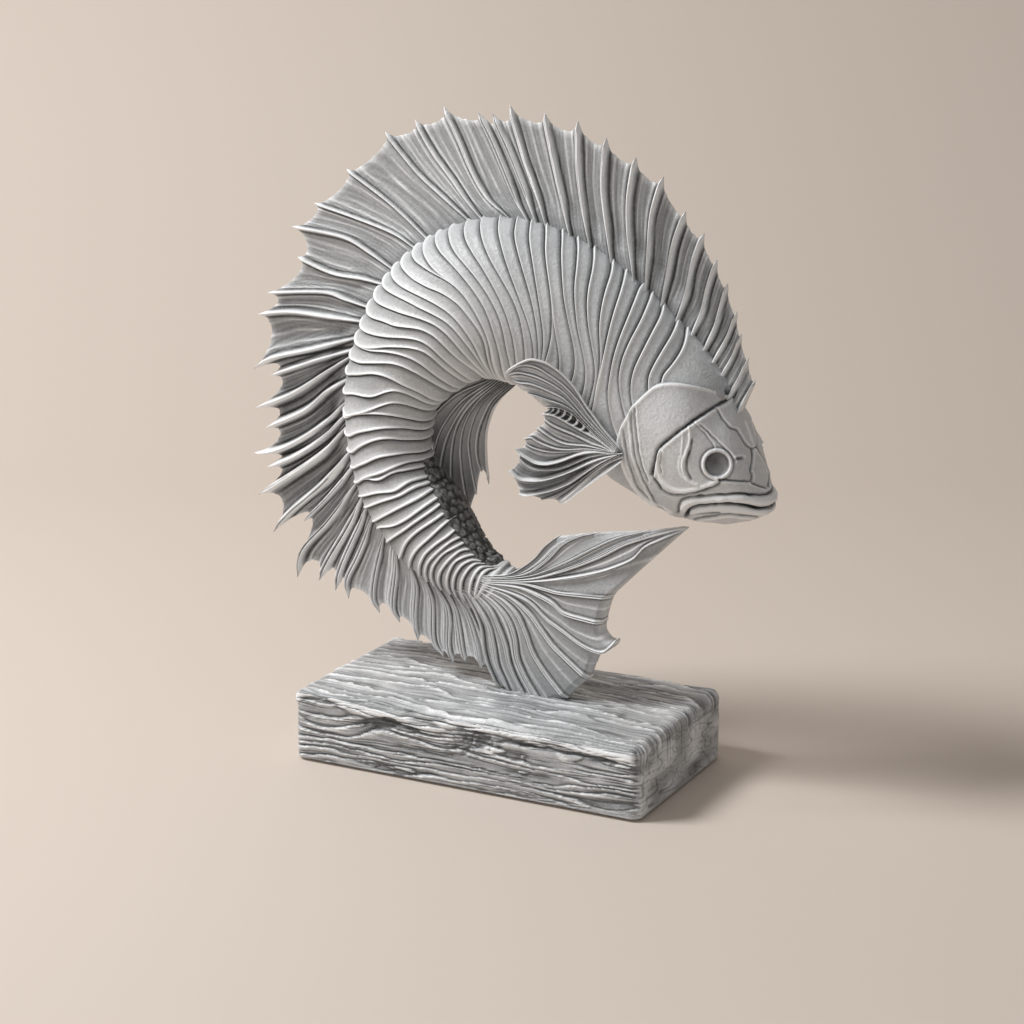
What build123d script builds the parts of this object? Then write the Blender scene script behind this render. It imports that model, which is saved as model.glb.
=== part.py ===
from build123d import *
import os
from math import ceil, cos, radians, sin, sqrt

os.makedirs("parts", exist_ok=True)

# Base block and the felt under it, in millimetres
base_length = 165.0
base_width = 88.0
base_height = 31.5
base_corner_radius = 5.5
base_top_radius = 5.0
felt_thickness = 1.5
felt_margin = 3.0
felt_corner_radius = 6.0

# Size of the fish: how far its back stands from the middle of its curl, and its own girth
curl_reach = 108.0
trunk_depth = 77.0
trunk_width = 52.0
rib_width = 1.6
rib_rise = 0.7
fin_to_base_gap = 3.0

# Head, measured from the middle of the gill cover
head_length = 35.5
head_depth = 62.0
head_width = 52.0
gill_length = 50.0
eye_dish_radius = 7.5
eye_dish_depth = 3.0
mouth_height = 1.2

# Fins: thickness of the webs, and how far the rays stand out of them
web_thickness = 2.6
ray_rise = 0.8
ray_foot_width = 2.2
ray_tip_width = 0.7
fan_ray_width = 1.6
fan_start_share = 0.34
tongue_depth = 4.5
ray_foot_height = 3.2
tail_thickness = 14.0
pectoral_length = 46.0
pectoral_root_radius = 6.5
pelvic_length = 70.0
pelvic_root_radius = 5.5

# Joints: pins, dowels, studs and the gaps that the glue fills
glue_gap = 0.15
pin_diameter = 2.0
pin_length = 9.0
root_pin_diameter = 3.0
root_pin_length = 14.0
dowel_diameter = 5.0
dowel_length = 24.0
dowel_spacing = 20.0
tail_dowel_diameter = 4.0
tail_dowel_length = 20.0
tail_dowel_spacing = 9.0
stud_diameter = 4.0
stud_grip = 22.0
stud_spacing = 15.0
stud_tail = 2.0
nut_across_flats = 7.0
nut_height = 3.2
washer_diameter = 12.0
washer_thickness = 1.0
counterbore_diameter = 14.0
counterbore_depth = 12.0
thread_gap = 0.1
stud_hole_gap = 0.4

base_top = felt_thickness + base_height

# The trunk, station by station from the gills to the tail: the middle of the body as shares of the
# curl's reach, the lean of each section in degrees, and its depth and width as shares of the girth
trunk_line_shares = [
    (0.884, 0.111), (0.764, 0.199), (0.611, 0.306), (0.444, 0.458), (0.255, 0.593),
    (0.065, 0.665), (-0.111, 0.667), (-0.273, 0.602), (-0.407, 0.489), (-0.498, 0.361),
    (-0.546, 0.218), (-0.554, 0.081), (-0.535, -0.046), (-0.489, -0.150), (-0.417, -0.241),
    (-0.336, -0.343), (-0.250, -0.423), (-0.160, -0.479), (-0.079, -0.505),
]
trunk_leans = [65, 61, 59, 62, 70, 82, 95, 107, 121, 135, 151, 166, 183, 198, 209, 217, 224, 229, 234]
trunk_depth_shares = [
    0.714, 0.878, 1.0, 0.987, 0.966, 0.938, 0.894, 0.842, 0.764, 0.640,
    0.582, 0.530, 0.500, 0.527, 0.543, 0.514, 0.436, 0.358, 0.335,
]
trunk_width_shares = [
    0.92, 0.98, 1.0, 0.98, 0.96, 0.94, 0.92, 0.885, 0.845, 0.79,
    0.75, 0.71, 0.685, 0.665, 0.635, 0.577, 0.49, 0.385, 0.31,
]
last_station = len(trunk_leans) - 1
points_per_station = 4

# The dorsal fin: the trunk station of a ray's foot, and the ray's tip as shares of the curl's reach
ray_shares = [
    (0.0, 1.046, 0.444), (1.2, 0.963, 0.694), (2.35, 0.824, 0.981), (3.3, 0.537, 1.259),
    (4.4, 0.148, 1.417), (5.5, -0.287, 1.407), (6.5, -0.648, 1.222), (7.6, -0.954, 0.954),
    (8.7, -1.148, 0.639), (9.6, -1.213, 0.278), (10.6, -1.222, -0.074), (11.7, -1.148, -0.398),
    (13.0, -0.926, -0.611), (14.5, -0.556, -0.731), (15.8, -0.287, -0.870), (17.2, -0.070, -0.912),
]
rays_per_step = 3
scallop_share = 0.32
split_ray = 24
lowest_tip_share = 0.917

# The curl's middle stands over the base's middle, so high that the lowest ray clears the base
curl_z = base_top + fin_to_base_gap + lowest_tip_share * curl_reach


def along(rows, place):
    """Reads a table between its rows, on a smooth curve."""
    row = max(0, min(int(place), len(rows) - 2))
    f = place - row
    before = rows[max(row - 1, 0)]
    after = rows[min(row + 2, len(rows) - 1)]
    return [
        b + 0.5 * f * (c - a + f * (2 * a - 5 * b + 4 * c - d + f * (3 * (b - c) + d - a)))
        for a, b, c, d in zip(before, rows[row], rows[row + 1], after)
    ]


def curl_point(x_share, z_share):
    """A point of the fish's middle plane, from shares of the curl's reach."""
    return (x_share * curl_reach, curl_z + z_share * curl_reach)


trunk_rows = [
    (*line, lean, depth, width)
    for line, lean, depth, width in zip(
        trunk_line_shares, trunk_leans, trunk_depth_shares, trunk_width_shares
    )
]


def edge_point(station, side, rise):
    """The point of the middle plane so far outside the back, side 1, or the belly, side -1, at a station."""
    x_share, z_share, lean, depth_share, width_share = along(trunk_rows, station)
    x, z = curl_point(x_share, z_share)
    reach = side * (depth_share * trunk_depth / 2 + rise)
    return (x + reach * cos(radians(lean)), z + reach * sin(radians(lean)))


def back_point(station, rise):
    """The point of the middle plane that stands so far above the back at a station."""
    return edge_point(station, 1, rise)


def station_plane(station, shift):
    """The plane of a trunk section, with its x direction up through the back."""
    x_share, z_share, lean, depth_share, width_share = along(trunk_rows, station)
    x, z = curl_point(x_share, z_share)
    c = cos(radians(lean))
    s = sin(radians(lean))
    return Plane(origin=(x - shift * s, 0, z + shift * c), x_dir=(c, 0, s), z_dir=(-s, 0, c))


def flank(station, offset):
    """How far the flank stands from the middle plane, so far above the section's middle."""
    x_share, z_share, lean, depth_share, width_share = along(trunk_rows, station)
    half = depth_share * trunk_depth / 2
    return width_share * trunk_width / 2 * sqrt(max(0, 1 - (offset / half) ** 2))


def ray(number):
    """The foot station and the tip of a dorsal ray."""
    station, x_share, z_share = along(ray_shares, number / rays_per_step)
    return station, curl_point(x_share, z_share)


def scallop(first, last, foot):
    """The deepest point of the web between two ray tips, drawn in towards the rays' foot."""
    middle_x = (first[0] + last[0]) / 2
    middle_z = (first[1] + last[1]) / 2
    run_x = foot[0] - middle_x
    run_z = foot[1] - middle_z
    spread = sqrt((last[0] - first[0]) ** 2 + (last[1] - first[1]) ** 2)
    drop = scallop_share * spread / sqrt(run_x ** 2 + run_z ** 2)
    return (middle_x + run_x * drop, middle_z + run_z * drop)


def ray_outline(foot, tip, foot_width, tip_width):
    """The four corners of a ray that tapers from its foot to its tip."""
    run_x = tip[0] - foot[0]
    run_z = tip[1] - foot[1]
    run = sqrt(run_x ** 2 + run_z ** 2)
    side_x = -run_z / run / 2
    side_z = run_x / run / 2
    return [
        (foot[0] + side_x * foot_width, foot[1] + side_z * foot_width),
        (tip[0] + side_x * tip_width, tip[1] + side_z * tip_width),
        (tip[0] - side_x * tip_width, tip[1] - side_z * tip_width),
        (foot[0] - side_x * foot_width, foot[1] - side_z * foot_width),
    ]


def fan_ray(hub, tip):
    """The outline of a fan's ray, which starts so far from the hub that it stays clear of the next one."""
    foot = (hub[0] + (tip[0] - hub[0]) * fan_start_share, hub[1] + (tip[1] - hub[1]) * fan_start_share)
    return ray_outline(foot, tip, fan_ray_width, ray_tip_width)


half_turn = 180
oval_turns = range(0, half_turn + 1, 20)
oval_shares = [turn / half_turn for turn in oval_turns]


def lofted(sections):
    """A smooth form through oval sections, each given by its plane, half depth and half width."""
    with BuildPart() as form:
        for plane, half_depth, half_width in sections:
            with BuildSketch(plane):
                with BuildLine():
                    for side in (1, -1):
                        points = [
                            Vector(half_depth * cos(radians(turn)), side * half_width * sin(radians(turn)))
                            for turn in oval_turns
                        ]
                        add(Edge.make_spline(points, parameters=oval_shares))
                make_face()
        loft()
    return form.part


def trunk_form(extra):
    """The whole trunk without its cuts, with so much added all round."""
    return lofted(
        [
            (
                station_plane(station, 0),
                trunk_depth_shares[station] * trunk_depth / 2 + extra,
                trunk_width_shares[station] * trunk_width / 2 + extra,
            )
            for station in range(last_station + 1)
        ]
    )


def back_line(first, last, rise):
    """Points along the back from one station to another, so far above it."""
    steps = ceil((last - first) * points_per_station)
    return [back_point(first + (last - first) * number / steps, rise) for number in range(steps + 1)]


def back_band(first, last, depth, height, thickness):
    """A band along the back, from a depth in the trunk to a height above it."""
    with BuildPart() as band:
        with BuildSketch(Plane.XZ.offset(-thickness / 2)):
            with BuildLine():
                low = Spline(*back_line(first, last, -depth))
                high = Spline(*back_line(first, last, height))
                Line(low @ 0, high @ 0)
                Line(low @ 1, high @ 1)
            make_face()
        extrude(amount=thickness)
    return band.part


# Gill cover: the head casting ends in this oval, which the trunk is hollowed to take
gill_shares = (0.833, 0.162)
gill_x, gill_z = curl_point(*gill_shares)
gill_half_length = gill_length / 2
gill_half_depth = head_depth / 2
gill_corner_share = 0.18
head_block = head_length + gill_half_length


def head_side(extra):
    """All the space on the head's side of the gill seam, moved back by a gap."""
    with BuildPart() as side:
        with BuildSketch(Plane.XZ.offset(-head_width)):
            with Locations((gill_x, gill_z)):
                Ellipse(gill_half_length + extra, gill_half_depth + extra)
            with Locations((gill_x - gill_corner_share * gill_length, gill_z + gill_half_depth + extra)):
                Rectangle(head_block, 2 * head_depth, align=(Align.MIN, Align.MAX))
        extrude(amount=2 * head_width)
    return side.part


# Pins of the dorsal fin: the trunk stations where they stand, and the way each casting is pushed on
pin_stations = [(2.2, 4.6), (11.0, 14.2)]
push_leans = [72, 200]


def pin_plane(station, lean, depth):
    """The plane at a pin's inner end, so deep under the back."""
    x, z = back_point(station, 0)
    c = cos(radians(lean))
    s = sin(radians(lean))
    return Plane(origin=(x - depth * c, 0, z - depth * s), x_dir=(0, 1, 0), z_dir=(c, 0, s))


dorsal_pin_planes = [
    pin_plane(station, lean, pin_length - tongue_depth / 2)
    for stations, lean in zip(pin_stations, push_leans)
    for station in stations
]

# Dowels between the head and the trunk, level with each other on the gill cover's back edge
dowel_rises = (-dowel_spacing / 2, dowel_spacing / 2)


def seam_x(rise):
    """Where the gill seam lies, so far above the middle of the gill cover."""
    return gill_x - gill_half_length * sqrt(1 - (rise / gill_half_depth) ** 2)


head_dowel_planes = [
    Plane(origin=(seam_x(rise) - dowel_length / 2, 0, gill_z + rise), x_dir=(0, 0, 1), z_dir=(1, 0, 0))
    for rise in dowel_rises
]

# Dowels between the trunk and the tail fin, side by side across the last section
tail_dowel_plane = station_plane(last_station, -tail_dowel_length / 2)

# Pectoral fins: the height of their root on the flank, and which way and how far each one stands out
pectoral_sides = [("right", -1, 24), ("left", 1, 10)]
pectoral_x = gill_x - gill_half_length - pectoral_root_radius / 2
pectoral_z = gill_z
pectoral_station = 2.0
pectoral_back = along(trunk_rows, pectoral_station)
pectoral_mid_x, pectoral_mid_z = curl_point(pectoral_back[0], pectoral_back[1])
pectoral_offset = (pectoral_x - pectoral_mid_x) * cos(radians(pectoral_back[2])) + (
    pectoral_z - pectoral_mid_z
) * sin(radians(pectoral_back[2]))
pectoral_y = flank(pectoral_station, pectoral_offset)

# Pelvic fin: its root on the belly under the top of the curl, to the left of the middle
pelvic_station = 5.5
pelvic_y_share = 0.16
pelvic_tilt = 14
pelvic_row = along(trunk_rows, pelvic_station)
pelvic_y = pelvic_y_share * trunk_width / 2
pelvic_mid_x, pelvic_mid_z = curl_point(pelvic_row[0], pelvic_row[1])
pelvic_x = pelvic_mid_x - pelvic_row[3] * trunk_depth / 2 * cos(radians(pelvic_row[2]))
pelvic_z = pelvic_mid_z - pelvic_row[3] * trunk_depth / 2 * sin(radians(pelvic_row[2]))

pectoral_pin_planes = [
    Plane(
        origin=(pectoral_x, side * (pectoral_y - root_pin_length + pectoral_root_radius / 2), pectoral_z),
        x_dir=(1, 0, 0),
        z_dir=(0, side, 0),
    )
    for name, side, flare in pectoral_sides
]
pelvic_pin_plane = Plane(
    origin=(pelvic_x, pelvic_y, pelvic_z - pelvic_root_radius / 2), x_dir=(1, 0, 0), z_dir=(0, 0, 1)
)

# Main ribs of the trunk, from the back to the belly: each one's stations on the back and on the belly.
# Every second rib stops on the flank, because the curl leaves them no room on the belly
rib_stations = [
    (2.85, 2.0), (3.35, 2.45), (3.88, 2.65), (4.4, 3.05), (4.9, 3.6), (5.45, 3.9), (6.05, 4.25), (6.6, 4.8),
    (7.3, 5.15), (7.85, 5.4), (8.4, 5.9), (9.0, 6.6), (9.45, 7.4), (10.15, 8.4), (10.7, 9.4), (11.4, 10.3),
    (12.1, 11.15), (12.75, 12.4), (13.6, 13.3), (14.5, 14.3), (15.3, 15.1), (16.1, 15.7), (17.0, 16.6),
]
nape_stations = (2.05, 1.7)
tail_band_stations = (17.65, 17.65)
short_rib_share = 0.68


def rib_outline(number):
    """The corners of a rib seen from the side, carried past the back and the belly by its own width."""
    back_station, belly_station = rib_stations[number]
    back_x, back_z = edge_point(back_station, 1, rib_width)
    belly_x, belly_z = edge_point(belly_station, -1, rib_width)
    reach = short_rib_share if number % 2 else 1
    end = (back_x + (belly_x - back_x) * reach, back_z + (belly_z - back_z) * reach)
    return ray_outline(end, (back_x, back_z), rib_width, rib_width)


def plain_outline(back_first, belly_first, back_last, belly_last):
    """The corners of a plain stretch of the trunk between two lines across it."""
    return [
        edge_point(back_first, 1, rib_width),
        edge_point(back_last, 1, rib_width),
        edge_point(belly_last, -1, rib_width),
        edge_point(belly_first, -1, rib_width),
    ]


# Trunk: one bent casting, hollowed between its ribs, with a groove along its back and sockets for
# everything it carries
trunk_whole = trunk_form(0)
with BuildPart() as trunk_bands:
    with BuildSketch(Plane.XZ.offset(-trunk_width)):
        Polygon(*plain_outline(0, 0, *nape_stations), align=None)
        Polygon(*plain_outline(*tail_band_stations, last_station, last_station), align=None)
        for number in range(len(rib_stations)):
            Polygon(*rib_outline(number), align=None)
    extrude(amount=2 * trunk_width)
    add(trunk_whole, mode=Mode.INTERSECT)

trunk_hollowed = trunk_form(-rib_rise)
with BuildPart() as ribbed:
    add(trunk_hollowed)
    add(trunk_bands.part)
trunk_blank = ribbed.part
trunk_clearance = trunk_form(glue_gap)
head_seat = head_side(glue_gap)
groove_depth = tongue_depth + glue_gap
back_groove = back_band(0, last_station, groove_depth, tongue_depth, web_thickness + 2 * glue_gap)

with BuildPart() as trunk:
    add(trunk_blank)
    add(head_seat, mode=Mode.SUBTRACT)
    add(back_groove, mode=Mode.SUBTRACT)
    for plane in dorsal_pin_planes:
        with BuildSketch(plane):
            Circle(pin_diameter / 2 + thread_gap)
    extrude(amount=pin_length, mode=Mode.SUBTRACT)
    for plane in head_dowel_planes:
        with BuildSketch(plane):
            Circle(dowel_diameter / 2 + thread_gap)
    extrude(amount=dowel_length, mode=Mode.SUBTRACT)
    with BuildSketch(tail_dowel_plane):
        with Locations((-tail_dowel_spacing / 2, 0), (tail_dowel_spacing / 2, 0)):
            Circle(tail_dowel_diameter / 2 + thread_gap)
    extrude(amount=tail_dowel_length, mode=Mode.SUBTRACT)
    for plane in pectoral_pin_planes:
        with BuildSketch(plane):
            Circle(root_pin_diameter / 2 + thread_gap)
    extrude(amount=root_pin_length, mode=Mode.SUBTRACT)
    with BuildSketch(pelvic_pin_plane):
        Circle(root_pin_diameter / 2 + thread_gap)
    extrude(amount=root_pin_length, mode=Mode.SUBTRACT)

trunk.part.label = "trunk"
export_step(trunk.part, "parts/trunk.step")

# Head: an oval form that narrows to the snout, cut off behind along the gill seam. Each row of the
# table is a section: its place along the head, its height, its half depth and its width, as shares
head_shares = [
    (-0.79, 0.315, 0.726, 0.98), (-0.42, 0.226, 0.700, 1.0), (-0.14, 0.153, 0.645, 1.0),
    (0.056, 0.089, 0.597, 0.96), (0.254, 0.0, 0.508, 0.88), (0.394, -0.065, 0.444, 0.81),
    (0.535, -0.105, 0.387, 0.745), (0.648, -0.153, 0.323, 0.67), (0.760, -0.218, 0.242, 0.575),
    (0.873, -0.294, 0.134, 0.44), (0.958, -0.319, 0.069, 0.31), (1.0, -0.323, 0.029, 0.19),
]


def head_plane(along_share, rise_share):
    """An upright plane across the head, looking towards the snout."""
    origin = (gill_x + along_share * head_length, 0, gill_z + rise_share * head_depth)
    return Plane(origin=origin, x_dir=(0, 0, 1), z_dir=(1, 0, 0))


def head_form(extra):
    """The head without its eyes and mouth, with so much added all round."""
    blank = lofted(
        [
            (
                head_plane(along_share, rise_share),
                depth_share * head_depth + extra,
                width_share * head_width / 2 + extra,
            )
            for along_share, rise_share, depth_share, width_share in head_shares
        ]
    )
    in_front_of_seam = head_side(extra)
    with BuildPart() as form:
        add(blank)
        add(in_front_of_seam, mode=Mode.INTERSECT)
    return form.part


head_blank = head_form(0)
head_clearance = head_form(glue_gap)

# Places of the eyes and the mouth, as shares of the head's own sizes, from the middle of the gill cover
eye_along_share = 0.49
eye_drop_share = 0.025
eye_out_share = 0.36
mouth_drop_share = 0.355
mouth_back_share = 0.25
mouth_split_share = 0.80
mouth_core_share = 0.5
eye_x = gill_x + eye_along_share * head_length
eye_y = eye_out_share * head_width
eye_z = gill_z - eye_drop_share * head_depth
mouth_z = gill_z - mouth_drop_share * head_depth
mouth_back = gill_x + mouth_back_share * head_length
mouth_split = gill_x + mouth_split_share * head_length

with BuildPart() as head:
    add(head_blank)
    # Dished eye sockets, one in each cheek
    for side in (-1, 1):
        with Locations((eye_x, side * (eye_y + eye_dish_radius - eye_dish_depth), eye_z)):
            Sphere(eye_dish_radius, mode=Mode.SUBTRACT)
    # The mouth: a groove along both cheeks that opens through the lips in front
    with BuildSketch(Plane.XY.offset(mouth_z)):
        with Locations((mouth_back, 0)):
            Rectangle(head_length, 2 * head_width, align=(Align.MIN, Align.CENTER))
        with Locations((mouth_back, 0)):
            Rectangle(2 * (mouth_split - mouth_back), mouth_core_share * head_width, mode=Mode.SUBTRACT)
    extrude(amount=mouth_height, mode=Mode.SUBTRACT)
    for plane in head_dowel_planes:
        with BuildSketch(plane):
            Circle(dowel_diameter / 2 + thread_gap)
    extrude(amount=dowel_length, mode=Mode.SUBTRACT)

head.part.label = "head"
export_step(head.part, "parts/head.step")

# Dowels of the head: two steel pins across the gill seam
with BuildPart() as head_dowels:
    for plane in head_dowel_planes:
        with BuildSketch(plane):
            Circle(dowel_diameter / 2)
    extrude(amount=dowel_length)

head_dowels.part.label = "head_dowels"
export_step(head_dowels.part, "parts/head_dowels.step")


def dorsal_web(first, last):
    """The web between two rays: a plate from the groove's floor out to scalloped tips."""
    tips = [ray(number)[1] for number in range(first, last + 1)]
    with BuildPart() as web:
        with BuildSketch(Plane.XZ.offset(-web_thickness / 2)):
            with BuildLine():
                floor = Spline(*back_line(ray(first)[0], ray(last)[0], -tongue_depth))
                for number, here, after in zip(range(first, last), tips, tips[1:]):
                    foot = back_point(ray(number)[0], 0)
                    ThreePointArc(here, scallop(here, after, foot), after)
                Line(floor @ 0, tips[0])
                Line(floor @ 1, tips[-1])
            make_face()
        extrude(amount=web_thickness)
    return web.part


def dorsal_rays(first, last):
    """The rays of a stretch of the fin, as tapered bars that stand out of both faces."""
    thickness = web_thickness + 2 * ray_rise
    with BuildPart() as bars:
        with BuildSketch(Plane.XZ.offset(-thickness / 2)):
            for number in range(first, last + 1):
                station, tip = ray(number)
                foot = back_point(station, ray_foot_height)
                Polygon(*ray_outline(foot, tip, ray_foot_width, ray_tip_width), align=None)
        extrude(amount=thickness)
    return bars.part


# Dorsal fin: two castings, because one that wraps so far round couldn't be pushed into its groove
last_ray = rays_per_step * (len(ray_shares) - 1)
for name, first, last, planes in (
    ("dorsal_fin_front", 0, split_ray, dorsal_pin_planes[:2]),
    ("dorsal_fin_rear", split_ray, last_ray, dorsal_pin_planes[2:]),
):
    web = dorsal_web(first, last)
    rays = dorsal_rays(first + 1, last - 1)
    with BuildPart() as dorsal_fin:
        add(web)
        add(rays)
        add(head_clearance, mode=Mode.SUBTRACT)
        for plane in planes:
            with BuildSketch(plane):
                Circle(pin_diameter / 2 + thread_gap)
        extrude(amount=pin_length, mode=Mode.SUBTRACT)
    dorsal_fin.part.label = name
    export_step(dorsal_fin.part, f"parts/{name}.step")

# Pins of the dorsal fin: two in each casting, parallel to the way it is pushed on
with BuildPart() as dorsal_fin_pins:
    for plane in dorsal_pin_planes:
        with BuildSketch(plane):
            Circle(pin_diameter / 2)
    extrude(amount=pin_length)

dorsal_fin_pins.part.label = "dorsal_fin_pins"
export_step(dorsal_fin_pins.part, "parts/dorsal_fin_pins.step")

# Tail fin: thick where it leaves the trunk and thin at its tips. Its form is lofted through ovals that
# open out like a fan, then cut to the fin's outline, which stands flat on the base. Each row of the
# first table is an oval: its place, its lean in degrees, its half depth and its half thickness
tail_form_shares = [
    (0.074, -0.56, 243, 0.417, 0.50), (0.25, -0.60, 250, 0.556, 0.43),
    (0.463, -0.64, 256, 0.560, 0.39), (0.80, -0.69, 258, 0.574, 0.34),
]
tail_upper_shares = [
    (0.0, -0.417), (0.111, -0.333), (0.222, -0.269), (0.241, -0.285), (0.389, -0.231),
    (0.417, -0.241), (0.602, -0.204), (0.787, -0.167),
]
tail_trailing_shares = [(0.583, -0.352), (0.528, -0.454), (0.481, -0.546), (0.435, -0.657), (0.426, -0.713)]
tail_hook_shares = [(0.481, -0.676), (0.463, -0.722), (0.407, -0.778), (0.296, -0.870)]
foot_back_share = -0.046
foot_front_share = 0.25


def tail_form(rise):
    """The fan of the tail fin before it is cut to its outline, with so much added to its faces."""
    root = trunk_rows[last_station]
    sections = [
        (station_plane(last_station, glue_gap), root[3] * trunk_depth / 2, root[4] * trunk_width / 2 + rise)
    ]
    for x_share, z_share, lean, depth_share, thickness_share in tail_form_shares:
        x, z = curl_point(x_share, z_share)
        c = cos(radians(lean))
        s = sin(radians(lean))
        plane = Plane(origin=(x, 0, z), x_dir=(c, 0, s), z_dir=(-s, 0, c))
        sections.append((plane, depth_share * curl_reach, thickness_share * tail_thickness + rise))
    return lofted(sections)


tail_root_plane = station_plane(last_station, glue_gap)
tail_root_half = trunk_depth_shares[last_station] * trunk_depth / 2


def root_point(share):
    """A point of the middle plane across the tail's root, from its belly at -1 to its back at 1."""
    point = tail_root_plane.from_local_coords(Vector(share * tail_root_half, 0, 0))
    return (point.X, point.Z)


foot_back = foot_back_share * curl_reach
foot_front = foot_front_share * curl_reach
tail_outline = [
    root_point(-1),
    *[curl_point(*shares) for shares in tail_upper_shares],
    *[curl_point(*shares) for shares in tail_trailing_shares],
    *[curl_point(*shares) for shares in tail_hook_shares],
    (foot_front, base_top),
    (foot_back, base_top),
    root_point(1),
]
tail_ray_tip_shares = [
    (0.19, -0.29), (0.33, -0.25), (0.50, -0.22), (0.74, -0.19), (0.58, -0.36), (0.52, -0.46),
    (0.47, -0.56), (0.43, -0.68), (0.44, -0.75), (0.36, -0.82), (0.28, -0.89), (0.20, -0.95),
    (0.12, -0.98), (0.04, -0.98),
]
tail_hub = root_point(0)


def tail_slab(points):
    """A slab of the tail's full thickness over a closed outline."""
    with BuildPart() as slab:
        with BuildSketch(Plane.XZ.offset(-tail_thickness)):
            Polygon(*points, align=None)
        extrude(amount=2 * tail_thickness)
    return slab.part


tail_blank = tail_form(0)
tail_raised = tail_form(ray_rise)
tail_cut = tail_slab(tail_outline)

with BuildPart() as tail_rays:
    with BuildSketch(Plane.XZ.offset(-tail_thickness)):
        for shares in tail_ray_tip_shares:
            Polygon(*fan_ray(tail_hub, curl_point(*shares)), align=None)
    extrude(amount=2 * tail_thickness)
    add(tail_raised, mode=Mode.INTERSECT)
    add(tail_cut, mode=Mode.INTERSECT)

# Studs that hold the fish on its base, below the tail fin's foot
stud_places = [(foot_back + foot_front) / 2 + side * stud_spacing / 2 for side in (-1, 1)]
seat_z = felt_thickness + counterbore_depth

with BuildPart() as tail_fin:
    add(tail_blank)
    add(tail_cut, mode=Mode.INTERSECT)
    add(tail_rays.part)
    with BuildSketch(tail_dowel_plane):
        with Locations((-tail_dowel_spacing / 2, 0), (tail_dowel_spacing / 2, 0)):
            Circle(tail_dowel_diameter / 2 + thread_gap)
    extrude(amount=tail_dowel_length, mode=Mode.SUBTRACT)
    with BuildSketch(Plane.XY.offset(base_top)):
        with Locations(*[(place, 0) for place in stud_places]):
            Circle(stud_diameter / 2 + thread_gap)
    extrude(amount=stud_grip + thread_gap, mode=Mode.SUBTRACT)

tail_fin.part.label = "tail_fin"
export_step(tail_fin.part, "parts/tail_fin.step")

# Dowels between the trunk and the tail fin
with BuildPart() as tail_dowels:
    with BuildSketch(tail_dowel_plane):
        with Locations((-tail_dowel_spacing / 2, 0), (tail_dowel_spacing / 2, 0)):
            Circle(tail_dowel_diameter / 2)
    extrude(amount=tail_dowel_length)

tail_dowels.part.label = "tail_dowels"
export_step(tail_dowels.part, "parts/tail_dowels.step")


def side_fin(plane, outline_shares, hub_shares, tip_shares, length, root_radius):
    """A fan-shaped fin on its own tilted plane: a web, its rays and a round root."""
    outline = [(x_share * length, y_share * length) for x_share, y_share in outline_shares]
    tips = [(x_share * length, y_share * length) for x_share, y_share in tip_shares]
    hub = (hub_shares[0] * length, hub_shares[1] * length)
    thickness = web_thickness + 2 * ray_rise
    with BuildPart() as fin:
        with BuildSketch(plane.offset(-web_thickness / 2)):
            Polygon(*outline, align=None)
        extrude(amount=web_thickness)
        with BuildSketch(plane.offset(-thickness / 2)):
            for tip in tips:
                Polygon(*fan_ray(hub, tip), align=None)
        extrude(amount=thickness)
        with Locations(plane.origin):
            Sphere(root_radius)
        add(trunk_clearance, mode=Mode.SUBTRACT)
        add(head_clearance, mode=Mode.SUBTRACT)
    return fin.part


# Pectoral fins: an upper and a lower lobe with a slot between them, one fin behind each gill cover
pectoral_outline_shares = [
    (0.0, 0.12), (0.09, 0.22), (0.20, 0.35), (0.30, 0.50), (0.40, 0.65), (0.51, 0.75), (0.63, 0.82),
    (0.77, 0.84), (0.87, 0.79), (1.0, 0.70), (0.92, 0.65), (0.79, 0.53), (0.63, 0.41), (0.26, 0.24),
    (0.26, 0.19), (0.65, 0.34), (0.70, 0.22), (0.67, 0.18), (0.82, 0.11), (0.78, 0.08), (0.90, 0.03),
    (0.87, -0.03), (0.95, -0.18), (0.89, -0.21), (0.86, -0.40), (0.78, -0.37), (0.65, -0.44),
    (0.60, -0.41), (0.49, -0.46), (0.29, -0.37), (0.17, -0.29), (0.0, -0.12),
]
pectoral_hub_shares = (0.0, 0.0)
pectoral_tip_shares = [
    (0.47, 0.71), (0.74, 0.82), (0.88, 0.77), (0.63, 0.31), (0.80, 0.11), (0.88, -0.03), (0.93, -0.18),
    (0.84, -0.38), (0.64, -0.42), (0.46, -0.45),
]

for name, side, flare in pectoral_sides:
    c = cos(radians(flare))
    s = sin(radians(flare))
    plane = Plane(
        origin=(pectoral_x, side * pectoral_y, pectoral_z), x_dir=(-c, side * s, 0), z_dir=(side * s, c, 0)
    )
    fan = side_fin(
        plane,
        pectoral_outline_shares,
        pectoral_hub_shares,
        pectoral_tip_shares,
        pectoral_length,
        pectoral_root_radius,
    )
    with BuildPart() as pectoral_fin:
        add(fan)
        for pin_plane_here in pectoral_pin_planes:
            with BuildSketch(pin_plane_here):
                Circle(root_pin_diameter / 2 + thread_gap)
        extrude(amount=root_pin_length, mode=Mode.SUBTRACT)
    pectoral_fin.part.label = f"pectoral_fin_{name}"
    export_step(pectoral_fin.part, f"parts/pectoral_fin_{name}.step")

with BuildPart() as pectoral_pins:
    for plane in pectoral_pin_planes:
        with BuildSketch(plane):
            Circle(root_pin_diameter / 2)
    extrude(amount=root_pin_length)

pectoral_pins.part.label = "pectoral_pins"
export_step(pectoral_pins.part, "parts/pectoral_pins.step")

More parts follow.
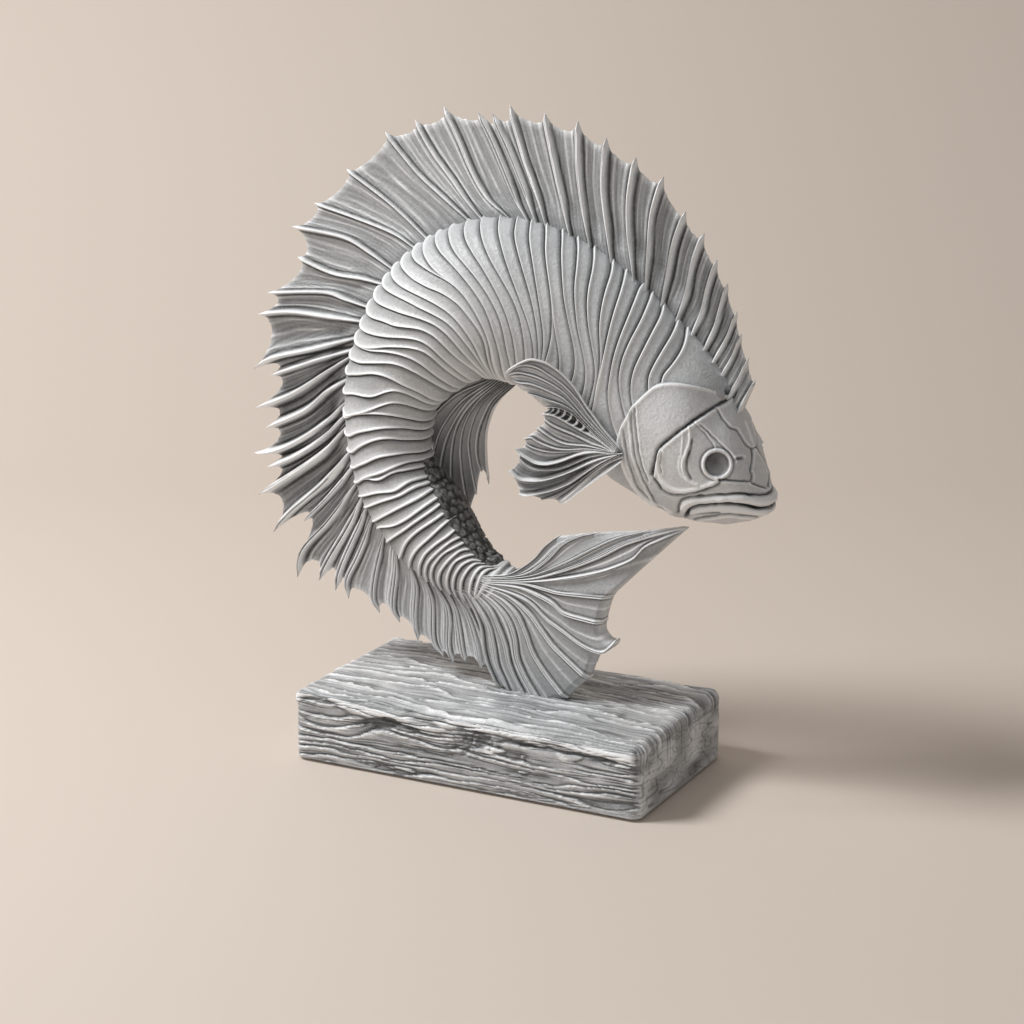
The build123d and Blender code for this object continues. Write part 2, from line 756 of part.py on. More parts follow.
# Pelvic fin: a long fan that hangs inside the curl, on the far side of the belly
pelvic_outline_shares = [
    (0.07, 0.0), (-0.02, 0.09), (-0.12, 0.225), (-0.186, 0.40), (-0.207, 0.57), (-0.213, 0.75),
    (-0.25, 0.66), (-0.307, 0.854), (-0.33, 0.78), (-0.383, 1.0), (-0.43, 0.85), (-0.51, 0.91),
    (-0.53, 0.74), (-0.60, 0.70), (-0.60, 0.62), (-0.60, 0.45), (-0.55, 0.32), (-0.38, 0.16),
    (-0.2, 0.045), (-0.08, 0.0),
]
pelvic_hub_shares = (-0.15, 0.08)
pelvic_tip_shares = [
    (-0.222, 0.70), (-0.375, 0.96), (-0.49, 0.88), (-0.58, 0.68), (-0.59, 0.50), (-0.54, 0.33),
]
tilt_c = cos(radians(pelvic_tilt))
tilt_s = sin(radians(pelvic_tilt))
pelvic_plane = Plane(
    origin=(pelvic_x, pelvic_y, pelvic_z), x_dir=(1, 0, 0), z_dir=(0, tilt_c, tilt_s)
)
pelvic_fan = side_fin(
    pelvic_plane,
    pelvic_outline_shares,
    pelvic_hub_shares,
    pelvic_tip_shares,
    pelvic_length,
    pelvic_root_radius,
)

with BuildPart() as pelvic_fin:
    add(pelvic_fan)
    with BuildSketch(pelvic_pin_plane):
        Circle(root_pin_diameter / 2 + thread_gap)
    extrude(amount=root_pin_length, mode=Mode.SUBTRACT)

pelvic_fin.part.label = "pelvic_fin"
export_step(pelvic_fin.part, "parts/pelvic_fin.step")

with BuildPart() as pelvic_pin:
    with BuildSketch(pelvic_pin_plane):
        Circle(root_pin_diameter / 2)
    extrude(amount=root_pin_length)

pelvic_pin.part.label = "pelvic_pin"
export_step(pelvic_pin.part, "parts/pelvic_pin.step")

# Base block: a rounded slab, counterbored from below for the studs' nuts
with BuildPart() as base_block:
    with BuildSketch(Plane.XY.offset(felt_thickness)):
        RectangleRounded(base_length, base_width, base_corner_radius)
    extrude(amount=base_height)
    fillet(base_block.faces().sort_by(Axis.Z)[-1].edges(), radius=base_top_radius)
    with BuildSketch(Plane.XY.offset(felt_thickness)):
        with Locations(*[(place, 0) for place in stud_places]):
            Circle(stud_diameter / 2 + stud_hole_gap)
    extrude(amount=base_height, mode=Mode.SUBTRACT)
    with BuildSketch(Plane.XY.offset(felt_thickness)):
        with Locations(*[(place, 0) for place in stud_places]):
            Circle(counterbore_diameter / 2)
    extrude(amount=counterbore_depth, mode=Mode.SUBTRACT)

base_block.part.label = "base_block"
export_step(base_block.part, "parts/base_block.step")

# Felt sheet: glued on last, over the counterbores
with BuildPart() as felt_sheet:
    with BuildSketch(Plane.XY):
        RectangleRounded(
            base_length - 2 * felt_margin, base_width - 2 * felt_margin, felt_corner_radius
        )
    extrude(amount=felt_thickness)

felt_sheet.part.label = "felt_sheet"
export_step(felt_sheet.part, "parts/felt_sheet.step")

# Studs: threaded rods set in the tail fin, which pass through the base
with BuildPart() as mounting_studs:
    with BuildSketch(Plane.XY.offset(seat_z - washer_thickness - nut_height - stud_tail)):
        with Locations(*[(place, 0) for place in stud_places]):
            Circle(stud_diameter / 2)
    extrude(amount=stud_tail + nut_height + washer_thickness + base_top - seat_z + stud_grip)

mounting_studs.part.label = "mounting_studs"
export_step(mounting_studs.part, "parts/mounting_studs.step")

with BuildPart() as stud_washers:
    with BuildSketch(Plane.XY.offset(seat_z - washer_thickness)):
        with Locations(*[(place, 0) for place in stud_places]):
            Circle(washer_diameter / 2)
            Circle(stud_diameter / 2 + thread_gap, mode=Mode.SUBTRACT)
    extrude(amount=washer_thickness)

stud_washers.part.label = "stud_washers"
export_step(stud_washers.part, "parts/stud_washers.step")

with BuildPart() as stud_nuts:
    with BuildSketch(Plane.XY.offset(seat_z - washer_thickness - nut_height)):
        with Locations(*[(place, 0) for place in stud_places]):
            RegularPolygon(nut_across_flats / 2, 6, major_radius=False)
            Circle(stud_diameter / 2 + thread_gap, mode=Mode.SUBTRACT)
    extrude(amount=nut_height)

stud_nuts.part.label = "stud_nuts"
export_step(stud_nuts.part, "parts/stud_nuts.step")
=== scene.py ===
from math import atan2, cos, pi, radians, sin

import bmesh
import bpy
import numpy as np
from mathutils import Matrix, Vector


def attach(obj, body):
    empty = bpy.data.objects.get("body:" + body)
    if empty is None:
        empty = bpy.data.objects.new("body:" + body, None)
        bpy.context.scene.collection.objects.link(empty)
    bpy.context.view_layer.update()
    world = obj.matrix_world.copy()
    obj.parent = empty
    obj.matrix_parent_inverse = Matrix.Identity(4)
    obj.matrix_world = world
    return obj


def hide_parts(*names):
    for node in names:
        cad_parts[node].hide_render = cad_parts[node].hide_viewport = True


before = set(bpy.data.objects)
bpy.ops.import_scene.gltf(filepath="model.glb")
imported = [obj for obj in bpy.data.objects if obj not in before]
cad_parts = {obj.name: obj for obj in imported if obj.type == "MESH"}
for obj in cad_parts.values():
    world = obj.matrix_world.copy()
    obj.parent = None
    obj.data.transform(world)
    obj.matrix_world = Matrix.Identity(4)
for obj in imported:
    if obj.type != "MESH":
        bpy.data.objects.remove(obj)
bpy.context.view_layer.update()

# Camera: it stands to the right of the fish's flank and looks down a little, as the photograph's did.
# The photograph is 1024 pixels square, and the carved lines below are placed by its pixels: a sight line
# through a pixel is followed to the surface that carries the line. Shapes are worked out in millimetres.
mm = 0.001
picture_side = 1024
lens = 85
sensor = 36
camera_place = np.array((469.5, -903.9, 381.1))
camera_tilt = radians(75.296)
camera_turn = radians(27.356)
focal = lens / sensor * picture_side
view_right = np.array((cos(camera_turn), sin(camera_turn), 0))
level = sin(camera_tilt)
view_ahead = np.array((-sin(camera_turn) * level, cos(camera_turn) * level, -cos(camera_tilt)))
view_up = np.cross(view_right, view_ahead)

camera = bpy.data.objects.new("camera", bpy.data.cameras.new("camera"))
camera.data.lens = lens
camera.data.sensor_width = sensor
camera.data.clip_end = 20
camera.location = Vector(camera_place * mm)
camera.rotation_euler = (camera_tilt, 0, camera_turn)
bpy.context.scene.collection.objects.link(camera)
bpy.context.scene.camera = camera


def seen_at(points):
    """The pixels at which points are seen, for an array of any shape whose last axis is x, y, z."""
    offset = points - camera_place
    depth = offset @ view_ahead
    across = picture_side / 2 + focal * (offset @ view_right) / depth
    down = picture_side / 2 - focal * (offset @ view_up) / depth
    return np.stack([across, down], -1)


def on_plane(pixels, origin, normal):
    """Where the sight lines through pixels meet a plane."""
    pixels = np.asarray(pixels, float)
    half = picture_side / 2
    lines = (
        view_ahead
        + (pixels[..., :1] - half) / focal * view_right
        + (half - pixels[..., 1:2]) / focal * view_up
    )
    reach = ((np.asarray(origin, float) - camera_place) @ normal) / (lines @ normal)
    return camera_place + lines * reach[..., None]


# Trunk: one bent resin casting, oval in section, whose flanks carry fifty-five thin ribs from the back
# to the belly. The ribs' crests are sharp and the bands between them sag like overlapping leaves.
# It is glued to the head in front and to the tail fin behind.
curl_reach = 108.0
curl_height = 135.0
trunk_depth = 77.0
trunk_width = 52.0
trunk_rows = np.array([
    (0.884, 0.111, 65, 0.714, 0.92), (0.766, 0.203, 61, 0.866, 0.98), (0.617, 0.316, 59, 0.966, 1.0),
    (0.450, 0.469, 62, 0.951, 0.98), (0.259, 0.605, 70, 0.930, 0.96), (0.066, 0.670, 82, 0.926, 0.94),
    (-0.111, 0.667, 95, 0.894, 0.92), (-0.273, 0.602, 107, 0.842, 0.885), (-0.407, 0.489, 121, 0.764, 0.845),
    (-0.498, 0.361, 135, 0.640, 0.79), (-0.546, 0.218, 151, 0.582, 0.75), (-0.554, 0.081, 166, 0.530, 0.71),
    (-0.535, -0.046, 183, 0.500, 0.685), (-0.489, -0.150, 198, 0.527, 0.665),
    (-0.417, -0.241, 209, 0.543, 0.635),
    (-0.336, -0.343, 217, 0.514, 0.577), (-0.250, -0.423, 224, 0.436, 0.49),
    (-0.160, -0.479, 229, 0.358, 0.385),
    (-0.079, -0.505, 234, 0.335, 0.31),
])
last_station = len(trunk_rows) - 1


def smooth(rows, places):
    """Reads a table between its rows, on a smooth curve."""
    rows = np.asarray(rows, float)
    places = np.asarray(places, float)
    row = np.clip(np.floor(places).astype(int), 0, len(rows) - 2)
    f = (places - row)[..., None]
    a = rows[np.maximum(row - 1, 0)]
    b = rows[row]
    c = rows[row + 1]
    d = rows[np.minimum(row + 2, len(rows) - 1)]
    return b + 0.5 * f * (c - a + f * (2 * a - 5 * b + 4 * c - d + f * (3 * (b - c) + d - a)))


def trunk_surface(station, turn):
    """Points of the bare trunk: turn is 0 along the back, a quarter turn on the near flank."""
    x, z, lean, depth, width = np.moveaxis(smooth(trunk_rows, station), -1, 0)
    lean = np.radians(lean)
    up = depth * trunk_depth / 2 * np.cos(turn)
    out = width * trunk_width / 2 * np.sin(turn)
    return np.stack(
        [x * curl_reach + up * np.cos(lean), -out, curl_height + z * curl_reach + up * np.sin(lean)], -1
    )


def surface_normals(points):
    """The outward normals of a grid of points, from its own neighbours."""
    along = np.gradient(points, axis=0)
    around = np.gradient(points, axis=1)
    normals = np.cross(along, around)
    return normals / np.maximum(np.linalg.norm(normals, axis=-1, keepdims=True), 1e-9)


def trunk_middle(stations):
    """The middle line of the trunk at given stations."""
    x, z = np.moveaxis(smooth(trunk_rows, stations), -1, 0)[:2]
    return np.stack([x * curl_reach, 0 * x, curl_height + z * curl_reach], -1)


def trunk_normals(stations, turns):
    """The outward normals of the bare trunk, from small steps along and around it."""
    along = trunk_surface(stations + 0.05, turns) - trunk_surface(stations - 0.05, turns)
    around = trunk_surface(stations, turns + 0.02) - trunk_surface(stations, turns - 0.02)
    normals = np.cross(along, around)
    outward = trunk_surface(stations, turns) - trunk_middle(stations)
    normals = normals * np.sign((normals * outward).sum(-1, keepdims=True))
    return normals / np.linalg.norm(normals, axis=-1, keepdims=True)


# Crests of the near flank in the photograph's pixels, from the gill cover round to the tail, each from
# the back to the belly
rib_lines = [
    [(687, 328), (686, 344), (677, 361), (667, 373), (658, 382)],
    [(681, 316), (674, 334), (662, 354), (651, 372), (646, 387)],
    [(665, 300), (662, 316), (649, 341), (638, 363), (631, 379), (631, 401)],
    [(654, 286), (653, 296), (642, 323), (628, 349), (620, 371), (619, 394), (626, 414)],
    [(642, 276), (640, 293), (630, 316), (619, 343), (613, 367), (609, 392), (607, 406), (613, 421)],
    [(628, 269), (624, 290), (614, 318), (607, 346), (602, 371), (597, 396), (594, 414)],
    [(615, 257), (614, 273), (605, 298), (601, 323), (601, 343), (603, 357)],
    [(596, 245), (595, 270), (590, 295), (589, 319), (592, 343), (597, 361), (598, 379), (591, 406)],
    [(580, 236), (580, 266), (577, 293), (578, 319), (581, 343), (587, 359), (589, 376), (585, 396)],
    [(565, 229), (564, 256), (565, 286), (568, 313), (573, 336), (578, 353), (579, 366), (575, 384)],
    [(549, 224), (548, 255), (552, 283), (555, 306), (556, 326), (560, 346), (562, 359), (563, 371)],
    [(555, 326), (553, 348), (549, 362)],
    [(535, 220), (533, 240), (537, 270), (541, 293), (544, 316), (546, 333), (547, 343), (545, 359)],
    [(521, 217), (518, 238), (524, 265), (532, 293), (538, 316), (541, 336), (542, 359)],
    [(504, 216), (502, 233), (508, 260), (517, 285), (526, 309), (534, 331), (537, 346), (538, 360)],
    [(486, 217), (484, 231), (489, 250), (498, 270), (510, 290), (521, 312), (527, 335), (529, 355)],
    [(470, 221), (467, 234), (473, 249), (485, 266), (496, 287), (507, 307), (514, 326), (518, 346),
     (519, 360)],
    [(454, 225), (452, 232), (456, 248), (466, 262), (477, 274), (489, 291), (499, 309), (506, 326),
     (512, 361)],
    [(443, 228), (439, 235), (441, 248), (451, 260), (462, 272), (472, 284), (482, 298), (492, 316),
     (501, 347)],
    [(428, 241), (426, 248), (431, 260), (441, 273), (452, 280), (461, 286), (469, 297), (479, 312),
     (493, 342)],
    [(416, 249), (416, 256), (424, 263), (431, 268)],
    [(405, 256), (404, 263), (412, 274), (421, 281), (431, 286), (444, 293), (455, 295), (466, 308),
     (487, 336)],
    [(394, 267), (396, 276), (407, 286), (423, 295), (438, 302), (449, 309), (459, 318), (478, 345),
     (493, 374)],
    [(386, 279), (386, 284), (396, 291), (413, 301), (430, 311), (444, 316), (456, 326), (478, 354),
     (489, 371)],
    [(377, 294), (381, 300), (396, 307), (413, 314), (430, 319), (444, 326), (455, 338), (466, 352),
     (486, 373)],
    [(369, 308), (374, 314), (388, 319), (402, 325), (419, 326), (431, 329), (441, 338), (463, 360),
     (478, 370)],
    [(362, 323), (368, 329), (382, 333), (399, 335), (419, 336), (431, 342), (441, 352), (452, 363),
     (466, 373)],
    [(357, 338), (362, 343), (374, 345), (386, 344), (407, 345), (421, 346), (433, 353), (444, 364),
     (463, 380)],
    [(376, 348), (396, 350), (410, 353), (424, 361), (438, 373), (449, 381)],
    [(352, 354), (362, 359), (379, 360), (399, 361), (413, 367), (424, 373), (435, 380), (447, 387)],
    [(347, 370), (360, 370), (379, 370), (393, 375), (407, 384), (421, 389), (435, 396), (441, 401)],
    [(345, 389), (357, 389), (368, 393), (379, 392), (391, 387), (402, 388), (416, 394), (430, 402),
     (437, 408)],
    [(378, 404), (388, 399), (399, 399), (413, 403), (424, 410), (431, 415)],
    [(347, 412), (361, 409), (382, 410), (396, 412), (410, 415), (422, 417)],
    [(349, 431), (367, 426), (387, 424), (404, 424), (421, 424)],
    [(352, 447), (363, 440), (378, 435), (391, 434), (408, 436), (422, 434)],
    [(353, 463), (365, 458), (378, 453), (391, 451), (408, 449), (421, 446)],
    [(356, 478), (367, 472), (380, 469), (393, 463), (408, 458), (422, 451)],
    [(377, 477), (393, 468), (408, 466), (423, 460)],
    [(360, 491), (376, 488), (393, 488), (408, 478), (423, 472)],
    [(366, 502), (380, 497), (397, 493), (411, 485), (426, 478)],
    [(373, 516), (387, 509), (402, 502), (417, 495), (429, 487)],
    [(377, 522), (391, 521), (404, 515), (417, 506), (431, 497)],
    [(386, 535), (400, 526), (413, 517), (428, 508), (439, 500)],
    [(397, 550), (404, 535), (415, 526), (430, 517), (443, 508)],
    [(405, 560), (413, 545), (426, 534), (439, 522), (448, 515)],
    [(414, 568), (421, 550), (434, 539), (445, 532), (454, 524)],
    [(421, 575), (423, 559), (434, 548), (448, 537), (460, 532)],
    [(428, 582), (428, 563), (439, 550), (452, 543), (464, 537)],
    [(435, 586), (435, 569), (445, 556), (458, 546), (471, 545)],
    [(444, 589), (443, 571), (450, 558), (463, 552), (476, 550)],
    [(451, 593), (450, 572), (458, 561), (469, 556), (484, 556)],
    [(458, 595), (458, 576), (465, 565), (474, 559), (489, 561)],
    [(466, 598), (467, 578), (472, 569), (480, 563), (495, 565)],
    [(471, 598), (474, 580), (478, 571), (487, 566)],
]
turn_steps = np.radians(np.linspace(0, 180, 91))
seam_turn = radians(45)
belly_turn = radians(80)
merge_turn = radians(20)
grazing = 0.25
broadside = 0.62
miss = 2.5
covered_ribs = 5
cover_slope = 2.5


def unit(values):
    """Values held between 0 and 1."""
    return np.clip(values, 0, 1)


def bell(distance, width):
    """One at no distance, falling smoothly to nothing over a few widths."""
    return np.exp(-(distance / width) ** 2)


def rib_courses():
    """The station of every rib at every step of the turn, from the traced crests."""
    stations = np.linspace(0, last_station, 901)
    turns = np.radians(np.linspace(1, 150, 150))
    grid = trunk_surface(*np.meshgrid(stations, turns, indexing="ij"))
    towards = camera_place - grid
    towards = towards / np.linalg.norm(towards, axis=-1, keepdims=True)
    facing = (surface_normals(grid) * towards).sum(-1)
    pixels = np.where((facing > grazing)[..., None], seen_at(grid), 1e6)
    courses = []
    spans = []
    open_ends = []
    for line in rib_lines:
        hits = []
        for place in line:
            gap = ((pixels - place) ** 2).sum(-1)
            i, j = np.unravel_index(gap.argmin(), gap.shape)
            if gap[i, j] < miss ** 2:
                hits.append((turns[j], stations[i], facing[i, j]))
        hits.sort()
        turn, station, square_on = np.array(hits).T
        open_ends.append((square_on[0] > broadside, square_on[-1] > broadside))
        courses.append(np.interp(turn_steps, turn, station))
        spans.append((turn[0], turn[-1]))
    courses = np.array(courses)
    spans = np.array(spans)
    traced = courses.copy()
    for rib in range(covered_ribs):
        last = spans[rib][1]
        below = traced[rib] - cover_slope * (turn_steps - last)
        courses[rib] = np.where(turn_steps > last, below, courses[rib])
        spans[rib][1] = pi
    for rib, (first, last) in enumerate(spans):
        for end, outside, open_end in (
            (first, turn_steps < first, open_ends[rib][0] and first > seam_turn),
            (last, turn_steps > last, open_ends[rib][1] and last < belly_turn),
        ):
            # Past the end of its line a rib follows its nearest neighbour that goes on
            longer = [
                other
                for other in range(len(courses))
                if other != rib and (
                    spans[other][0] <= first + 0.01 if end == first
                    else spans[other][1] >= last - 0.01 and other >= covered_ribs
                )
            ]
            if not longer:
                continue
            here = np.interp(end, turn_steps, traced[rib])
            there = [np.interp(end, turn_steps, traced[other]) for other in longer]
            near = int(np.abs(np.array(there) - here).argmin())
            offset = here - there[near]
            if open_end:
                offset = offset * unit(1 - np.abs(turn_steps - end) / merge_turn)
            courses[rib] = np.where(outside, traced[longer[near]] + offset, courses[rib])
    # Courses are softened along the turn and kept in order
    padded = np.pad(courses, ((0, 0), (4, 4)), mode="edge")
    softened = sum(padded[:, k:k + courses.shape[1]] for k in range(9)) / 9
    softened.sort(axis=0)
    return softened


def new_piece(name, points, faces, relief=None):
    """A mesh object from points in millimetres, with a tone for each point stored on it: pale where rubbed,
    dark with wash and painted shade in hollows, and other painted shade and light where a piece adds them.
    """
    mesh = bpy.data.meshes.new(name)
    mesh.from_pydata((np.asarray(points) * mm).tolist(), [], [tuple(face) for face in faces])
    if relief is not None:
        layer = mesh.attributes.new("relief", "FLOAT", "POINT")
        layer.data.foreach_set("value", np.asarray(relief, np.float32).ravel())
    piece = bpy.data.objects.new(name, mesh)
    bpy.context.scene.collection.objects.link(piece)
    shape = bmesh.new()
    shape.from_mesh(mesh)
    bmesh.ops.recalc_face_normals(shape, faces=shape.faces)
    shape.to_mesh(mesh)
    shape.free()
    mesh.polygons.foreach_set("use_smooth", np.ones(len(mesh.polygons), bool))
    return piece


def tube_faces(rings, around, offset=0):
    """Faces of a closed tube of rings, with both ends filled."""
    faces = []
    for ring in range(rings - 1):
        for step in range(around):
            a = offset + ring * around + step
            b = offset + ring * around + (step + 1) % around
            faces.append((a, b, b + around, a + around))
    faces.append(tuple(offset + step for step in range(around)))
    faces.append(tuple(offset + (rings - 1) * around + step for step in reversed(range(around))))
    return faces


def sheet_faces(columns, rows, offset=0):
    """Faces that join the front and the back of a sheet, given column by column, into a closed shape."""
    total = columns * rows
    index = np.arange(total).reshape(columns, rows) + offset
    a, b, c, d = index[:-1, :-1], index[1:, :-1], index[1:, 1:], index[:-1, 1:]
    faces = np.stack([a, b, c, d], -1).reshape(-1, 4).tolist()
    faces += (np.stack([d, c, b, a], -1).reshape(-1, 4) + total).tolist()
    border = [*index[:, 0], *index[-1, 1:], *index[-2::-1, -1], *index[0, -2:0:-1]]
    for here, after in zip(border, border[1:] + border[:1]):
        faces.append((here, here + total, after + total, after))
    return faces


def fill_sockets(tree, node, sockets):
    """Gives a node's sockets constants, or joins them to the outputs of other nodes."""
    for socket, value in sockets.items():
        if isinstance(value, bpy.types.NodeSocket):
            tree.links.new(value, node.inputs[socket])
        else:
            node.inputs[socket].default_value = value


def add_node(tree, kind, sockets):
    """A new node with its sockets filled."""
    node = tree.nodes.new(kind)
    fill_sockets(tree, node, sockets)
    return node


def cast_resin(name, light, middle, dark, gloss):
    """Stone-grey cast resin whose tone is read from each piece's relief attribute: a dark wash and painted
    shade lie in the hollows, the crests are rubbed pale, and some pieces add painted shade and light of their
    own.
    """
    material = bpy.data.materials.new(name)
    material.use_nodes = True
    tree = material.node_tree
    # The relief attribute carries each point's tone, painted shade and painted light included
    proud = add_node(tree, "ShaderNodeAttribute", {})
    proud.attribute_name = "relief"
    place = add_node(tree, "ShaderNodeTexCoord", {}).outputs["Object"]
    cloud = add_node(tree, "ShaderNodeTexNoise", {"Vector": place, "Scale": 45, "Detail": 5})
    grain = add_node(tree, "ShaderNodeTexNoise", {
        "Vector": place, "Scale": 420, "Detail": 6, "Distortion": 1.8,
    })
    clouded = add_node(tree, "ShaderNodeMath", {0: cloud.outputs["Fac"], 1: 0.18, 2: proud.outputs["Fac"]})
    clouded.operation = "MULTIPLY_ADD"
    speck = add_node(tree, "ShaderNodeMath", {0: grain.outputs["Fac"], 1: 0.22, 2: clouded.outputs["Value"]})
    speck.operation = "MULTIPLY_ADD"
    tone = add_node(tree, "ShaderNodeValToRGB", {"Fac": speck.outputs["Value"]})
    ramp = tone.color_ramp.elements
    ramp[0].position = 0.20
    ramp[0].color = (*dark, 1)
    ramp[1].position = 0.94
    ramp[1].color = (*light, 1)
    ramp.new(0.62).color = (*middle, 1)
    bump = add_node(tree, "ShaderNodeBump", {
        "Strength": 0.6, "Distance": 0.0006, "Height": grain.outputs["Fac"],
    })
    fill_sockets(tree, tree.nodes["Principled BSDF"], {
        "Roughness": gloss, "Base Color": tone.outputs["Color"], "Normal": bump.outputs["Normal"],
    })
    return material


resin = cast_resin("cast_resin", (0.88, 0.89, 0.90), (0.42, 0.43, 0.44), (0.035, 0.035, 0.035), 0.40)

# The gill cover's hind edge, where the head's casting lies over the trunk
gill_edge = [
    (724.4, 396.1), (718.9, 392.4), (709.2, 390), (697.1, 387), (683.8, 384.5), (672.9, 383.6), (662, 384.3),
    (653.5, 387.6), (646.2, 393.6), (638.9, 400.3), (632.9, 406.4), (628, 414.8), (623.2, 423.3),
    (618.9, 434.2),
    (617.4, 442.7), (618.3, 452.4), (621.4, 462.1), (624.4, 470.6), (629.2, 480.3), (635.3, 488.8),
    (642.6, 497.2),
    (653.5, 503.3), (665.6, 508.7), (671, 511.5),
]
in_front_of_gills = [(690, 535), (780, 560), (860, 500), (860, 400), (760, 380), (742, 392), (731, 392)]


def from_line(places, line):
    """How far each place in the picture lies from a line, and on which side, in pixels."""
    line = smooth(line, np.linspace(0, len(line) - 1, 4 * (len(line) - 1) + 1))
    best = np.full(places.shape[:-1], 1e6)
    side = np.zeros(places.shape[:-1])
    for start, after in zip(line, line[1:]):
        run = after - start
        offset = places - start
        share = unit((offset @ run) / (run @ run))
        offset = offset - share[..., None] * run
        gap = np.hypot(offset[..., 0], offset[..., 1])
        turn = run[0] * offset[..., 1] - run[1] * offset[..., 0]
        side = np.where(gap < best, np.sign(turn), side)
        best = np.minimum(gap, best)
    return best, side


def past_gills(points):
    """How far points of the near side lie in front of the gill edge in pixels, and below zero behind it."""
    places = seen_at(points)
    border = np.array(gill_edge + in_front_of_gills)
    inside = np.zeros(places.shape[:-1], bool)
    for start, after in zip(border, np.roll(border, -1, axis=0)):
        crosses = (start[1] > places[..., 1]) != (after[1] > places[..., 1])
        rise = after[1] - start[1] if after[1] != start[1] else 1e-9
        across = start[0] + (places[..., 1] - start[1]) * (after[0] - start[0]) / rise
        inside ^= crosses & (places[..., 0] < across)
    gap, side = from_line(places, gill_edge)
    return np.where(inside, gap, -gap)


plain_samples = 10
near_steps = 66
far_steps = 50
crest_height = 0.6
crest_width = 0.56
undercut_depth = 0.95
undercut_place = 0.85
undercut_width = 0.44
undercut_tone = 0.5
band_sag_share = 0.08
most_sag = 0.55
behind_crest = (0, 0.25, 0.5, 0.75, 1.0, 1.35)
before_crest = (0.9, 0.5, 0.22)
full_band = 3.4
thin_band = 0.6
band_growth = 2.4
first_ring = 0.3
least_step = 0.004
seat_start = 2
seat_slope = 7
seat_depth = 9
seat_stations = 3
nose_length = 9.0
nose_steps = 31
nose_ribs = 3


def carved_trunk():
    """The trunk's points ring by ring and a tone for each that holds painted shade and light, with rings that
    follow the ribs.
    """
    courses = rib_courses()
    turns = np.concatenate([
        np.linspace(0, pi, near_steps, endpoint=False),
        np.linspace(pi, 2 * pi, far_steps, endpoint=False),
    ])
    folded = np.where(turns > pi, 2 * pi - turns, turns)
    crests = np.array([np.interp(folded, turn_steps, course) for course in courses])
    first = np.full((1, len(turns)), first_ring)
    last = np.full((1, len(turns)), last_station)
    crests = np.concatenate([first, crests, last])
    crests = np.maximum.accumulate(crests + np.arange(len(crests))[:, None] * least_step, axis=0)
    crests = np.minimum(crests, last_station)
    stations = []
    heights = []
    tones = []
    for number, (first, last) in enumerate(zip(crests, crests[1:])):
        width = np.linalg.norm(trunk_surface(last, turns) - trunk_surface(first, turns), axis=-1)
        squeeze = unit(width / full_band)
        if number == 0:
            far = width - np.array(before_crest)[:, None] * squeeze
            plain = np.linspace(0, 1, plain_samples, endpoint=False)[:, None] * far[0]
            samples = np.concatenate([plain, far])
        else:
            near = np.array(behind_crest)[:, None] * squeeze
            far = width - np.array(before_crest)[:, None] * squeeze
            middle = near[-1] + (far[0] - near[-1]) * np.array((0.33, 0.67))[:, None]
            samples = np.concatenate([near, middle, far])
        full = unit((width - thin_band) / band_growth)
        for behind in samples:
            ahead = width - behind
            share = behind / np.maximum(width, 1e-6)
            crest = crest_height * bell(ahead, crest_width) * full
            if number == 0:
                sag = 0 * width
            else:
                crest = np.maximum(crest, crest_height * bell(behind, crest_width))
                sag = -np.minimum(band_sag_share * width, most_sag) * np.sin(pi * share)
                sag = sag - full * undercut_depth * bell(behind - undercut_place, undercut_width)
            stations.append(first + share * (last - first))
            heights.append(sag + crest)
            # Tones: crests rubbed pale, undercuts dark with wash and painted shade, and each band painted
            # paler towards its next crest as the light falls on it
            wash_and_shade = undercut_tone * (sag < 0) * bell(behind - undercut_place, 1.15 * undercut_width) * full
            tones.append(0.40 + 0.14 * share + crest - wash_and_shade)
    stations = np.array(stations)
    heights = np.array(heights)
    turns = turns + 0 * stations
    bare = trunk_surface(stations, turns)
    mirrored = bare * np.where(bare[..., 1:2] > 0, (1, -1, 1), (1, 1, 1))
    # The trunk sinks under the gill cover
    under_head = unit((past_gills(mirrored) - seat_start) / seat_slope) * (stations < seat_stations)
    proud = unit(tones)
    points = bare + trunk_normals(stations, turns) * (heights - seat_depth * under_head)[..., None]
    # The end narrows into the root of the tail fin
    end = trunk_surface(np.full(turns.shape[1], float(last_station)), turns[0])
    middle = trunk_middle(np.array(float(last_station)))
    way = middle - trunk_middle(np.array(last_station - 0.5))
    way = way / np.linalg.norm(way)
    share = np.linspace(0, 1, nose_steps)
    bend = np.sin(share * pi / 2)[:, None, None]
    narrow = (0.12 + 0.88 * np.cos(share * pi / 2))[:, None, None]
    ripple = 1 + 0.045 * np.cos(share * 2 * nose_ribs * pi)[:, None, None]
    nose = middle + (end - middle) * narrow * ripple + way * nose_length * bend
    nose_proud = np.repeat(0.5 + 0.3 * np.cos(share * 2 * nose_ribs * pi)[:, None], len(end), axis=1)
    return np.concatenate([points, nose]), np.concatenate([proud, nose_proud])


def lattice_noise(across, up, seed):
    """Smooth noise between -1 and 1 over two coordinates."""
    table = np.random.default_rng(seed).uniform(-1, 1, (97, 97))
    i = np.floor(across).astype(int)
    j = np.floor(up).astype(int)
    f = across - i
    g = up - j
    f = f * f * (3 - 2 * f)
    g = g * g * (3 - 2 * g)
    low = table[i % 97, j % 97] * (1 - f) + table[(i + 1) % 97, j % 97] * f
    high = table[i % 97, (j + 1) % 97] * (1 - f) + table[(i + 1) % 97, (j + 1) % 97] * f
    return low * (1 - g) + high * g


patch_start = 10.4
scale_first = 11.4
scale_last = 17.8
scale_rings = 150
scale_columns = 64
scale_length = 3.4
scale_width = 3.8
scale_spread = radians(40)
belly_radius = 19
patch_sunk = 1.2
patch_depth = 2.5


